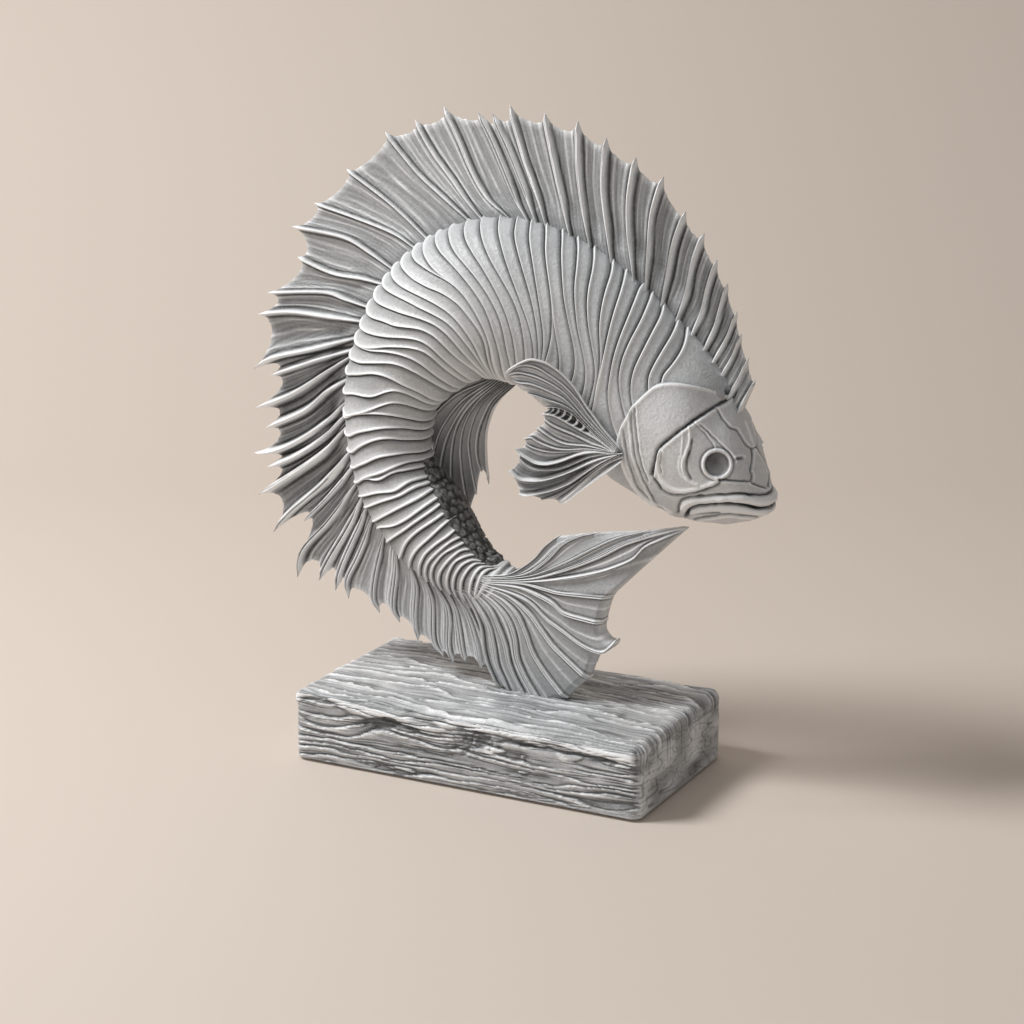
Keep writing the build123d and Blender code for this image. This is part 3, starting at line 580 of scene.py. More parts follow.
def belly_scales():
    """A closed patch along the inside of the curl with rough little scales, and its tones, which are painted
    shade.
    """
    stations = np.linspace(scale_first, scale_last, scale_rings)[:, None]
    widened = unit((stations - patch_start) / 4)
    turns = pi + np.linspace(-1, 1, scale_columns)[None, :] * scale_spread * widened
    bare = trunk_surface(stations + 0 * turns, turns)
    normals = trunk_normals(stations + 0 * turns, turns)
    centre = trunk_surface(stations[:, 0], np.full(len(stations), pi))
    along = np.concatenate([[0], np.cumsum(np.linalg.norm(np.diff(centre, axis=0), axis=1))])[:, None]
    around = (turns - pi) * belly_radius
    row = np.floor(along / scale_length)
    draw = np.random.default_rng(41).uniform(-1, 1, (4, 97, 97))
    best = np.full(bare.shape[:2], -1.0)
    for next_row in (row - 1, row, row + 1):
        shift = around / scale_width + 0.5 * (next_row % 2)
        for cell in (np.floor(shift), np.floor(shift) + 1):
            i = next_row.astype(int) % 97 + 0 * cell.astype(int)
            j = cell.astype(int) % 97
            away_x = (along / scale_length - next_row - 0.5) + 0.3 * draw[0, i, j]
            away_y = shift - cell + 0.25 * draw[1, i, j]
            dome = (0.75 + 0.35 * draw[2, i, j]) * (1 - (away_x / 0.62) ** 2 - (away_y / 0.55) ** 2)
            best = np.maximum(best, dome)
    rim = unit((1 - np.abs(np.linspace(-1, 1, scale_columns))) / 0.12)
    rim = rim * unit(np.minimum(along, along[-1] - along) / 3)
    rough = lattice_noise(along / 0.9, around / 0.9 + 0 * along, 43)
    best = np.clip(1.5 * best, -0.6, 0.75) + 0.25 * rough
    height = -patch_sunk + (2.1 + 0.9 * np.clip(best, -0.6, 1)) * rim
    # Painted shade: the patch is toned nearly black as the curl shades it, the scales' tops a little paler
    tone = 0.24 * unit(best) ** 2
    return bare + normals * height[..., None], bare - normals * patch_depth, tone + 0 * height


points, proud = carved_trunk()
front, back, tone = belly_scales()
faces = tube_faces(*points.shape[:2]) + sheet_faces(*front.shape[:2], offset=proud.size)
points = np.concatenate([points.reshape(-1, 3), front.reshape(-1, 3), back.reshape(-1, 3)])
trunk = new_piece("trunk_casting", points, faces, np.concatenate([proud.ravel(), tone.ravel(), tone.ravel()]))
trunk.data.materials.append(resin)
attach(trunk, "root")
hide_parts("trunk")

# Head: a separate resin casting that fits into the hollow front of the trunk, with its gill cover lying over
# the seam. Plates, cheek folds, the ringed eye dish and the lips are cut as grooves and raised lips.
gill_middle = np.array((89.96, 0, 152.5))
head_length = 35.5
head_depth = 62.0
head_width = 52.0
head_rows = [
    (-0.79, 0.315, 0.726, 0.98), (-0.42, 0.226, 0.700, 1.0), (-0.14, 0.153, 0.645, 1.0),
    (0.052, 0.089, 0.595, 0.96), (0.235, 0.0, 0.502, 0.88), (0.364, -0.068, 0.436, 0.81),
    (0.490, -0.109, 0.378, 0.745), (0.592, -0.157, 0.314, 0.67), (0.690, -0.221, 0.234, 0.575),
    (0.796, -0.295, 0.130, 0.44), (0.878, -0.319, 0.069, 0.31), (0.918, -0.323, 0.029, 0.19),
]
# Each cut of the head: its line in the picture, the groove's depth in millimetres and its half width in
# pixels, and the same two sizes of a raised lip with how far to the right of the line it stands
head_cuts = [
    ([(728.8, 398.5), (721.3, 402.7), (714.1, 406.6), (704.4, 413.4), (694.7, 419.9), (689.8, 423.3),
      (680.1, 430.6), (670.4, 438.1), (663.2, 444.2), (658.3, 449.4), (655.3, 456.6), (653.5, 465.7),
      (651.7, 474.2)], 1.3, 1.5, 0.5, 1.3, -3.2),
    ([(632.3, 408.8), (631.4, 420.9), (632.1, 433), (633.1, 445.1), (635.3, 457.2), (638.9, 469.4),
      (644, 481.5),
      (649.8, 492.4), (657.1, 502.1), (665.6, 508.1)], 0.55, 0.8, 0.5, 1.0, 1.7),
    ([(634.9, 406.4), (635.3, 420.9), (636.3, 433), (637.5, 445.1), (639.5, 457.2), (643.5, 470.6),
      (647.7, 480.9)], 0.6, 0.8, 0.4, 0.8, -2.2),
    ([(622.9, 425.7), (625, 437.9), (626.2, 448.8), (628, 459.7), (632.3, 473), (637.7, 485.1), (645, 493.6),
      (655.9, 503.3), (663.2, 507.5)], 0.45, 0.8, 0.35, 0.9, 1.8),
    ([(660.1, 450), (658.3, 457.2), (658.3, 466.9), (660.1, 476.6), (663.2, 482.7), (669.2, 487.8),
      (677.7, 491.2),
      (687.4, 491.4), (697.1, 489), (709.2, 485.1), (717.1, 480.9)], 0, 1, 0.75, 2.0, 0),
    ([(651.7, 474.8), (655.9, 481.5), (662, 490), (669.2, 494.5), (680.1, 495), (689.8, 493.6), (701.9, 491),
      (714.1, 486.6), (719.5, 483), (719.1, 479.7)], 0.9, 1.0, 0, 1, 0),
    ([(661.7, 448.8), (660.4, 457.2), (659.8, 464.5), (660.7, 472.4)], 0.7, 0.9, 0.3, 0.9, -1.9),
    ([(691.5, 440), (690.4, 449), (687.6, 457), (686.4, 464), (687, 472), (690.4, 479)], 0.8, 1.1, 0, 1, 0),
    ([(688.9, 427), (690.1, 433), (689.3, 442.7), (686.4, 452.4), (683.4, 459.7), (682.7, 466.9),
      (684.4, 474.2),
      (689, 480.9), (697.7, 484.8)], 0, 1, 0.7, 1.3, 0),
    ([(682.6, 432.4), (682.6, 442.7), (681, 454.8), (678.8, 465.7), (681, 474.2),
      (686.5, 481)], 0, 1, 0.35, 0.9, 0),
    ([(695.3, 423.9), (701.9, 430.6), (708, 437.9), (711.6, 442.7),
      (713.8, 447.6)], 0.35, 0.7, 0.35, 0.9, -1.7),
    ([(700.1, 425.1), (708, 431.8), (716.5, 440.3), (723.8, 447.6), (731, 454.8), (734.9, 460.3)],
     0.5, 0.8, 0.45, 0.9, -1.9),
    ([(716.5, 409.4), (721.3, 417.3), (727.4, 424.5), (731, 427.6), (737.1, 430), (739.5, 434.2),
      (744.3, 441.5),
      (748, 445.7), (752.2, 448.2), (755.3, 446.3), (754.6, 441.5), (750.4, 430.6), (747.4, 422.1)],
     0.6, 0.9, 0.35, 0.9, -2.0),
    ([(752.2, 448.8), (752.2, 459.7), (751, 470.6), (752.2, 474.2), (751.6, 479.7), (749.2, 481.5),
      (738.3, 480.9),
      (726.2, 480.3), (719.1, 479.7)], 0.7, 0.9, 0.3, 0.9, -1.9),
    ([(751.6, 482.7), (757.7, 485.1), (765.6, 487.8)], 0.7, 0.9, 0.3, 0.8, 1.8),
    ([(678.3, 511.5), (679.5, 504.5), (682.6, 499.9), (689.8, 497.5), (701.9, 496.6), (714.1, 495.5),
      (726.2, 494.8), (738.3, 493.8), (750.4, 494.3), (762.5, 494.3), (768.6, 493.4), (771.2, 490),
      (771.6, 485.1),
      (768.6, 479.1)], 1.1, 1.2, 0, 1, 0),
    ([(683.5, 508), (688, 503), (696, 501), (714, 500), (738, 499), (758, 501),
      (774, 500)], 0, 1, 1.0, 3.0, 0),
    ([(686.2, 516.4), (688.6, 510.8), (693.5, 507.7), (701.9, 505.7), (714.1, 504.5), (726.2, 504.3),
      (738.3, 504.5), (750.4, 506.9), (762.5, 508.7), (777, 506.9)], 1.9, 1.3, 0, 1, 0),
    ([(692, 512), (704, 509.5), (722, 508.7), (742, 510.2), (762, 513), (776, 511)], 0, 1, 0.9, 2.4, 0),
    ([(687.4, 515.4), (694.7, 514.2), (701.9, 514), (719.5, 513)], 0.7, 0.8, 0, 1, 0),
    ([(694.7, 519.6), (708, 517.2), (721.3, 515.4), (733.4, 514.8), (744.3, 516), (757.7, 516.9)],
     0.7, 0.9, 0.3, 1.0, 2.2),
    ([(737, 458.6), (742, 458)], 1.0, 1.5, 0.35, 1.0, -3.0),
    ([(727.6, 449.4), (731.6, 453.6), (735.3, 459.4)], 0, 1, 0.5, 1.0, 0),
    ([(768, 477.2), (768.4, 480.9)], 0.8, 1.2, 0, 1, 0),
]
eye_place = np.array((717.1, 464.3))
eye_ring = 14.6
eye_dish = 12.4
dish_depth = 3.6
head_rings = 190
head_half_steps = 170
snout_shares = (0.86, 0.6, 0.28)
snout_reach = 1.1
cut_reach = 6
ring_height = 0.75
moat_depth = 0.45
full_facing = 0.18
cover_lift = 1.05
cover_fade = 9
cover_edge = 0.35
head_seat = 6.0


def head_relief(points, facing):
    """How far the carving raises or sinks points of the head's near side, with a tone for each."""
    places = seen_at(points)
    raised = np.zeros(places.shape[:-1])
    x, y = np.moveaxis(places, -1, 0)
    for number, (line, depth, half_width, lip, lip_width, lip_place) in enumerate(head_cuts):
        gap, side = from_line(places, line)
        reach = gap * side + 0.45 * lattice_noise(x / 5, y / 5, 50 + number)
        strength = 1 + 0.35 * lattice_noise(x / 7, y / 7, 90 + number)
        near_line = np.exp(-np.maximum(gap - cut_reach, 0))
        raised += lip * strength * bell(reach - lip_place, lip_width) * near_line
        raised -= depth * strength * bell(reach, half_width) * near_line
    # The eye: a dish with a raised ring and a moat round it
    from_eye = np.hypot(*np.moveaxis(places - eye_place, -1, 0))
    near_eye = unit((from_eye - eye_dish + 1.5) / 3)
    dish = -dish_depth * np.sqrt(unit(1 - (from_eye / eye_dish) ** 2))
    ring = ring_height * bell(from_eye - eye_ring + 0.7, 1.5)
    moat = -moat_depth * bell(from_eye - eye_ring - 2.4, 1.0)
    raised = raised * near_eye + dish + ring + moat
    shown = unit(facing / full_facing)
    raised = raised * shown
    # The gill cover lies over the trunk, and what is behind its edge sinks inside
    cover = past_gills(points)
    lifted = cover_lift * np.exp(-np.maximum(cover, 0) / cover_fade) - 0.1
    edge = cover_edge * bell(cover - 1.2, 1.2)
    sunk = unit(-cover / 6)
    in_dish = unit((eye_dish + 0.5 - from_eye) / 2) * shown
    # Tones: pale on raised lips and at the gill cover's edge, dark with wash and painted shade in the
    # grooves, and a little darker near the gill edge
    tone = 0.58 + np.where(raised > 0, raised / 1.5, raised / 1.6) + edge - 0.05 * bell(cover, cover_fade)
    # Painted shade and light in the dish: dark at its upper left and in its middle, paler at its lower right,
    # as the dish is lit from the upper left
    lower_right = ((x - eye_place[0]) * 0.6 + (y - eye_place[1]) * 0.8) / eye_dish
    dish_painted_shade = 0.34 - 0.20 * unit(1 - from_eye / eye_dish) + 0.26 * lower_right
    tone = tone * (1 - in_dish) + in_dish * dish_painted_shade
    return raised + lifted * (1 - sunk) + edge * (1 - sunk) - head_seat * sunk, unit(tone)


def carved_head():
    """The head's points ring by ring from inside the trunk to the snout, with their tones."""
    fine = np.linspace(0, len(head_rows) - 1, 800)
    line = smooth(head_rows, fine)
    steps = np.hypot(np.diff(line[:, 0]) * head_length, np.diff(line[:, 1] + line[:, 2]) * head_depth)
    travel = np.concatenate([[0], np.cumsum(steps)])
    places = np.interp(np.linspace(0, travel[-1], head_rings), travel, fine)
    along, rise, half_depth, width = smooth(head_rows, places).T[..., None]
    turns = np.linspace(0, pi, head_half_steps + 1)
    bare = np.stack([
        gill_middle[0] + along * head_length + 0 * turns,
        -width * head_width / 2 * np.sin(turns),
        gill_middle[2] + rise * head_depth + half_depth * head_depth * np.cos(turns),
    ], -1)
    normals = surface_normals(bare)
    normals[:, (0, -1), 1] = 0
    normals /= np.linalg.norm(normals, axis=-1, keepdims=True)
    normals *= np.sign((normals * (bare - gill_middle * (1, 0, 1))).sum(-1, keepdims=True))
    towards = camera_place - bare
    towards /= np.linalg.norm(towards, axis=-1, keepdims=True)
    raised, tone = head_relief(bare, (normals * towards).sum(-1))
    raised[:, (0, -1)] = np.minimum(raised[:, (0, -1)], 0.4)
    near = bare + normals * raised[..., None]
    tip = near[-1]
    middle = tip.mean(axis=0) * (1, 0, 1)
    for number, share in enumerate(snout_shares):
        ring = middle + (tip - middle) * share
        ring[:, 0] += snout_reach * (number + 1) / len(snout_shares)
        near = np.concatenate([near, ring[None]])
        tone = np.concatenate([tone, tone[-1:]])
    near[:, (0, -1), 1] = 0
    far = near[:, -2:0:-1] * (1, -1, 1)
    return np.concatenate([near, far], axis=1), np.concatenate([tone, tone[:, -2:0:-1]], axis=1)


points, tone = carved_head()
head = new_piece("head_casting", points.reshape(-1, 3), tube_faces(*points.shape[:2]), tone)
head.data.materials.append(resin)
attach(head, "root")
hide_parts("head")

# Dorsal fin: a thin pleated sheet of cast resin with forty-six spines, in two castings that are glued and
# pinned into the groove along the back. Each spine is a rounded ridge that ends in a hooked point, and the
# sheet between two spines has finer rays and a hollow edge.
dorsal_plane = (0, -1.5, 0)
middle_normal = np.array((0, 1, 0))
dorsal_rays = [
    [(740.7, 409), (754, 381)],
    [(729.4, 396.4), (739, 378), (747.4, 358.6)],
    [(721.7, 376.8), (732, 357), (740.2, 334.7)],
    [(715.4, 360), (727, 337), (735.8, 312.2)],
    [(706.7, 347.3), (714, 330), (720, 308), (726.2, 284.2)],
    [(694.4, 331.9), (702, 312), (707, 288), (715.7, 260.3)],
    [(679.6, 316.5), (686, 296), (692, 264), (702.8, 233.7)],
    [(664.2, 299.6), (668, 272), (673, 244), (684.3, 211.9)],
    [(648, 281), (649, 247), (651.6, 212.4), (662, 177)],
    [(634, 266), (628.5, 232), (628, 197), (634.3, 157.3)],
    [(612, 254), (604.7, 212), (602, 181.8), (604.7, 138)],
    [(590.4, 240), (583, 207), (578, 171.6), (576.1, 121.1)],
    [(570, 228.8), (558.8, 187), (550.6, 151), (543, 113.5)],
    [(546, 220), (540, 202), (522.9, 156), (508.1, 105.3)],
    [(536, 218), (524, 190), (508, 152), (490.7, 114)],
    [(527, 216.5), (515.7, 198), (502, 166.5), (490, 139), (476.9, 113)],
    [(506.5, 214), (487, 197), (471.8, 171.6), (457.6, 139), (442.2, 106.8)],
    [(482, 217.5), (466.7, 200), (451.4, 178.8), (431, 151), (413.7, 120.1)],
    [(469.8, 219.6), (441, 195), (415.7, 171.6), (383.6, 132.3)],
    [(428, 238), (404, 216), (382.9, 198), (345, 169.6)],
    [(415.5, 247), (393, 233), (352, 217), (312.4, 203.3)],
    [(393, 267.6), (370.6, 253), (342, 237), (290, 226.7)],
    [(380.8, 282.9), (362.4, 278.8), (331.8, 273.7), (296, 257.3)],
    [(370.6, 307), (345, 299), (321.6, 292), (265.5, 293)],
    [(362, 320.6), (330, 317), (290, 312), (256.3, 314.5)],
    [(355.3, 337.7), (311.4, 349.4), (270.6, 358.6), (251.9, 370.3)],
    [(350.7, 350.4), (320, 359), (297, 366.7), (267.6, 376.4)],
    [(350.2, 357.6), (326.7, 371.8), (291, 394.3), (253.3, 408.6)],
    [(345.6, 381), (326.7, 392), (303.3, 411.6), (263.5, 429)],
    [(345, 404.5), (326.7, 422), (300, 440), (273.7, 451.6), (252.2, 453.2)],
    [(346, 417), (322, 438), (295, 456), (265, 468)],
    [(347, 428.2), (321.6, 452.7), (285.9, 477), (256.3, 495.5)],
    [(351.7, 451.6), (321.6, 485.3), (291, 511.8), (271.6, 532.8)],
    [(353.8, 468), (326, 499), (302, 522)],
    [(357.3, 483.3), (326.7, 522), (301, 550.6), (295.6, 578.2)],
    [(363, 498.6), (347, 527), (326.7, 560.8), (317.3, 581.2)],
    [(368, 507), (351, 541), (338, 571), (333.7, 591.4)],
    [(373.7, 517), (357, 555.7), (345, 581), (346.9, 599.6)],
    [(384.7, 536.3), (375.5, 566), (371.4, 596.5), (378, 613.9)],
    [(397, 552.7), (395, 576), (391.8, 606.7), (398.5, 623.6)],
    [(412, 567), (415.3, 586), (413.3, 617), (416.3, 642)],
    [(425, 576), (430.6, 600.8), (431.6, 639.6), (442.3, 658.3)],
    [(437, 586), (447, 611), (447, 646.7), (451.5, 665)],
    [(448, 591), (455, 611), (460.2, 646.7), (463.3, 663)],
    [(458, 597), (466, 613), (475.5, 646.7), (479.6, 669.7)],
    [(466, 600), (475, 620), (486, 648), (493.4, 678.9)],
]
foot_depth = 8.0
curve_samples = 72


def fin_ray(pixels, origin, normal, foot):
    """A ray in space from its traced pixels, foot first, carried on into the body by a foot."""
    points = on_plane(pixels, origin, normal)
    start = points[0] - points[1]
    points = np.vstack([points[0] + start / np.linalg.norm(start) * foot, points])
    fine = smooth(points, np.linspace(0, len(points) - 1, 12 * (len(points) - 1) + 1))
    steps = np.concatenate([[0], np.cumsum(np.linalg.norm(np.diff(fine, axis=0), axis=1))])
    places = np.linspace(0, steps[-1], curve_samples)
    return np.stack([np.interp(places, steps, fine[:, axis]) for axis in range(3)], -1)


def spread(values, count):
    """A value for each of so many rays, read from a short list of values spaced evenly along them."""
    values = np.atleast_1d(np.asarray(values, float))
    return np.interp(np.linspace(0, len(values) - 1, count), np.arange(len(values)), values)


row_gather = 1.35
column_gather = 0.105
root_bare = 0.08
root_growth = 0.30
rim_fade = 3.0
fold_start = 11
fold_growth = 8


def blend(values, k, f):
    """A value between those of one ray and the next."""
    return (1 - f) * values[k] + f * values[k + 1]


def fan_sheet(rays, out, thick, edge, ridge, ridge_width, pleat, hollow, spike, fine_rays, seed,
              columns=18, rows=56, fall=1.0, scratched=0.10, twin=0, root_tone=-0.22):
    """Front and back points of a rayed fin and their tones, painted shade included, from its rays and an
    outward way.
    """
    count = len(rays)
    rays = np.array(rays)
    draw = np.random.default_rng(seed)
    sizes = (thick, edge, ridge, ridge_width, pleat, hollow, spike, twin)
    thick, edge, ridge, ridge_width, pleat, hollow, spike, twin = (spread(size, count) for size in sizes)
    samples = np.arange(curve_samples)
    lengths = np.linalg.norm(np.diff(rays, axis=1), axis=-1).sum(1)
    rise = 1 - (1 - np.linspace(0, 1, rows)) ** row_gather
    columns_mid = []
    columns_half = []
    columns_tone_and_shade = []
    for k in range(count - 1):
        first, second = rays[k], rays[k + 1]
        gaps = np.linalg.norm(second - first, axis=1)
        length = (lengths[k] + lengths[k + 1]) / 2
        # Fine rays between two main ones, each with its own height, start and wave
        shifts = draw.uniform(-0.3, 0.3, fine_rays)
        places = np.sort((np.arange(fine_rays) + 0.5 + shifts) / max(fine_rays, 1))
        places = 0.12 + 0.76 * places
        tall = draw.uniform(0.45, 1.0, len(places))
        starts = draw.uniform(0.05, 0.45, len(places))
        phase = draw.uniform(0, 6, len(places))
        steps = np.arange(columns + (k == count - 2)) / columns
        steps = steps - column_gather * np.sin(2 * pi * steps)
        for f in steps:
            # The rim is hollow between two rays, with a point at each and small teeth at the fine rays
            rim = blend(1 - spike / lengths, k, f) - blend(hollow, k, f) / length * 4 * f * (1 - f)
            tip_gap = gaps[-1]
            for own, away in ((k, f * tip_gap), (k + 1, (1 - f) * tip_gap)):
                sharp = unit(1 - away / (1.3 + 0.45 * spike[own]))
                rim = rim + spike[own] / lengths[own] * sharp ** 1.6
            for place, height in zip(places, tall):
                sharp = unit(1 - abs(f - place) * tip_gap / 0.8)
                rim = rim + 0.22 * height * spike[k] / length * sharp
            # Places from the root to the rim, between the two rays
            u = rise * rim
            at = u * (curve_samples - 1)
            a = np.stack([np.interp(at, samples, first[:, i]) for i in range(3)], -1)
            b = np.stack([np.interp(at, samples, second[:, i]) for i in range(3)], -1)
            gap = np.interp(at, samples, gaps)
            grow = unit((u - root_bare) / root_growth)
            fade = unit((rim - u) * length / rim_fade)
            # Ridges along the main rays, single or twin, with a groove beside each
            high = np.zeros(rows)
            low = np.zeros(rows)
            for own, away in ((k, f * gap), (k + 1, (1 - f) * gap)):
                wide = ridge_width[own] * (0.55 + 0.45 * grow)
                apart = twin[own] * grow * unit(gap / 5)
                high = np.maximum(high, ridge[own] * bell(away - apart, wide) * (0.5 + 0.5 * fade))
                low = np.maximum(low, bell(away - apart - 1.9 * wide, 0.45 * wide + 0.15))
                low = np.maximum(low, bell(away, 0.4 * wide) * (apart > 0.8 * wide))
            # Fine rays and scratches, where the main rays leave room for them
            room = unit((gap - 1.5) / 3)
            lines = np.zeros(rows)
            for place, height, start, turn in zip(places, tall, starts, phase):
                drift = place + 0.035 * np.sin(turn + 5 * u)
                line = height * bell(np.abs(f - drift) * gap, 0.5)
                lines = np.maximum(lines, line * unit((u - start) / 0.12))
            scratch = np.sin(f * gap * 3.6 + 2.5 * np.sin(3 * u + k))
            # The sheet is folded back between the rays and thins towards the rim
            folded = unit((u * length - fold_start) / fold_growth)
            sag = blend(pleat, k, f) * 4 * f * (1 - f) * folded
            outer = blend(edge, k, f)
            body = outer + (blend(thick, k, f) - outer) * (1 - u / rim) ** fall
            proud = high + (0.5 * lines + scratched * scratch) * room - 0.45 * low * room
            columns_mid.append((1 - f) * a + f * b - out * (sag * room)[:, None])
            raised = np.maximum(proud * (0.25 + 0.75 * fade), -0.3)
            columns_half.append(body * (0.35 + 0.65 * np.sqrt(fade)) + raised)
            # Tones: pale on the ridges; dark wash and painted shadow in the grooves beside them; painted
            # shade in the folds; near the root a root_tone, painted shade on the dorsal, side and belly fins
            # and paler on the tail
            shade = 0.44 + 0.50 * high / max(ridge[k], 0.5) + 0.40 * lines * room - 0.16 * np.abs(sag) / 2
            shade = shade - 0.42 * low * unit(room + 0.4) + 0.5 * scratched * scratch * room
            columns_tone_and_shade.append(shade + 0.20 * (1 - fade) + root_tone * (1 - grow))
    mid = np.array(columns_mid)
    half = np.array(columns_half)[..., None]
    return mid + out * half, mid - out * half, unit(np.array(columns_tone_and_shade))


def sheet_piece(name, front, back, proud):
    """Stitches the two faces of a sheet into one closed piece."""
    faces = sheet_faces(*front.shape[:2])
    piece = new_piece(name, np.concatenate([front.reshape(-1, 3), back.reshape(-1, 3)]), faces,
                      np.concatenate([proud.ravel(), proud.ravel()]))
    piece.data.materials.append(resin)
    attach(piece, "root")
    return piece


near_side = np.array((0, -1, 0))
split_ray = 25
dorsal_columns = 28
rays = []
for pixels in dorsal_rays:
    ray = fin_ray(pixels, dorsal_plane, middle_normal, foot_depth)
    ray[:, 1] = 0
    rays.append(ray)
dorsal_ridge = (2.2, 2.4, 2.4, 2.0, 1.5, 1.4, 1.7, 2.8, 3.0, 2.3, 1.5, 1.2, 1.0)
dorsal_width = (1.0, 1.1, 1.2, 0.9, 0.65, 0.65, 0.9, 1.4, 1.4, 1.0, 0.5, 0.5, 0.5)
dorsal_twin = (0, 0, 0, 0.5, 0.7, 0, 0, 0, 0.9, 1.0, 0.9, 0.8, 0.6)
dorsal_pleat = (1.8, 2.3, 2.4, 1.8, 1.2, 1.0, 1.8, 3.4, 3.8, 2.8, 1.6, 1.0, 0.6)
dorsal_hollow = (1.0, 2.0, 2.5, 3.0, 2.0, 1.6, 3.0, 5.0, 5.0, 5.0, 3.0, 2.0, 1.5)
dorsal_spike = (2.4, 3.2, 3.2, 3.0, 3.2, 2.4, 3.2, 4.4, 4.6, 5.0, 4.2, 3.0, 2.0)
front, back, proud = fan_sheet(rays, near_side, 2.8, 0.45, dorsal_ridge, dorsal_width, dorsal_pleat,
                               dorsal_hollow, dorsal_spike, 3, seed=11, columns=dorsal_columns, fall=2.5,
                               twin=dorsal_twin, scratched=0.12)
cut = split_ray * dorsal_columns
for name, node, part in (("dorsal_fin_front_casting", "dorsal_fin_front", slice(0, cut + 1)),
                         ("dorsal_fin_rear_casting", "dorsal_fin_rear", slice(cut, None))):
    casting = sheet_piece(name, front[part], back[part], proud[part])
    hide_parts(node)

# Tail fin: the thick fan that the fish stands on, cast in one with its rays, which spread from the end of
# the trunk. Its hind face is broad and plain, and a small hook curls out at its lower end.
tail_rays = [
    [(490, 572), (500, 572), (514, 571), (534, 559), (545, 546), (557, 536)],
    [(491, 574), (512, 574), (532, 571), (549, 559), (563, 544), (580, 536), (596, 533)],
    [(492, 575.5), (534, 573.5), (566, 562), (595, 548), (620, 537), (645, 531.5)],
    [(492, 577), (534, 576), (566, 568), (601, 555), (630, 541), (672, 530), (687, 528)],
    [(492, 579), (534, 579.5), (572, 577), (601, 572), (620, 566), (635, 559), (647, 547), (668, 537),
     (686, 529.5)],
    [(493, 580.5), (524, 582), (545, 588), (559, 592), (582, 595), (609, 598)],
    [(492, 582), (519, 586), (538, 594), (553, 603), (564, 613), (582, 619), (601, 624)],
    [(490, 583.5), (515, 592), (534, 603), (549, 619), (566, 632), (580, 643), (592, 650), (603, 653),
     (610, 648.5), (613.5, 642)],
    [(488, 584.5), (511, 594), (530, 611), (542, 628), (553, 644), (566, 658), (577, 669), (588, 680)],
    [(486, 585.5), (507, 598), (520, 613), (528, 632), (534, 651), (543, 668), (554, 684), (566, 700)],
    [(482, 586.5), (499, 600), (511, 617), (517, 636), (519, 657), (526, 676), (535, 693), (543, 707)],
    [(478, 587.5), (494, 605), (501, 623), (507, 642), (510, 661), (515, 676), (522, 691), (527, 704)],
    [(475, 589), (486, 607), (493, 626), (496, 646), (498, 663), (504, 679), (509, 694)],
    [(472, 591), (480, 609), (484, 628), (485, 647), (488, 663), (493, 677), (497, 688)],
]
tail_spikes = (0.4, 0.4, 0.4, 0.4, 0.4, 0.4, 0.4, 11, 0.4, 0.4, 0.4, 0.4, 0.4, 1.5)
base_top = 33.0
tail_depths = (1, 1.2, 1.5, 1.6, 2.6, 4.8, 5.2, 4.6, 4.0, 3.4, 2.8, 2.4, 2.0, 1.6)
rays = []
for pixels, depth in zip(tail_rays, tail_depths):
    ray = fin_ray(pixels, (0, -depth, 0), middle_normal, 0.5)
    ray[:, 1] = 0
    ray[:, 2] = np.maximum(ray[:, 2], base_top - 3.5)
    rays.append(np.vstack([[ray[0] + (-5, 0, 1)], ray[1:]]))
front, back, proud = fan_sheet(rays, near_side, 7.6, tail_depths, 1.0, 0.5, 0.8, 0.6, tail_spikes, 1, seed=5,
                               columns=22, rows=72, scratched=0.03, twin=0.55, root_tone=0.1)
tail = sheet_piece("tail_fin_casting", front, back, proud)
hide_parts("tail_fin")

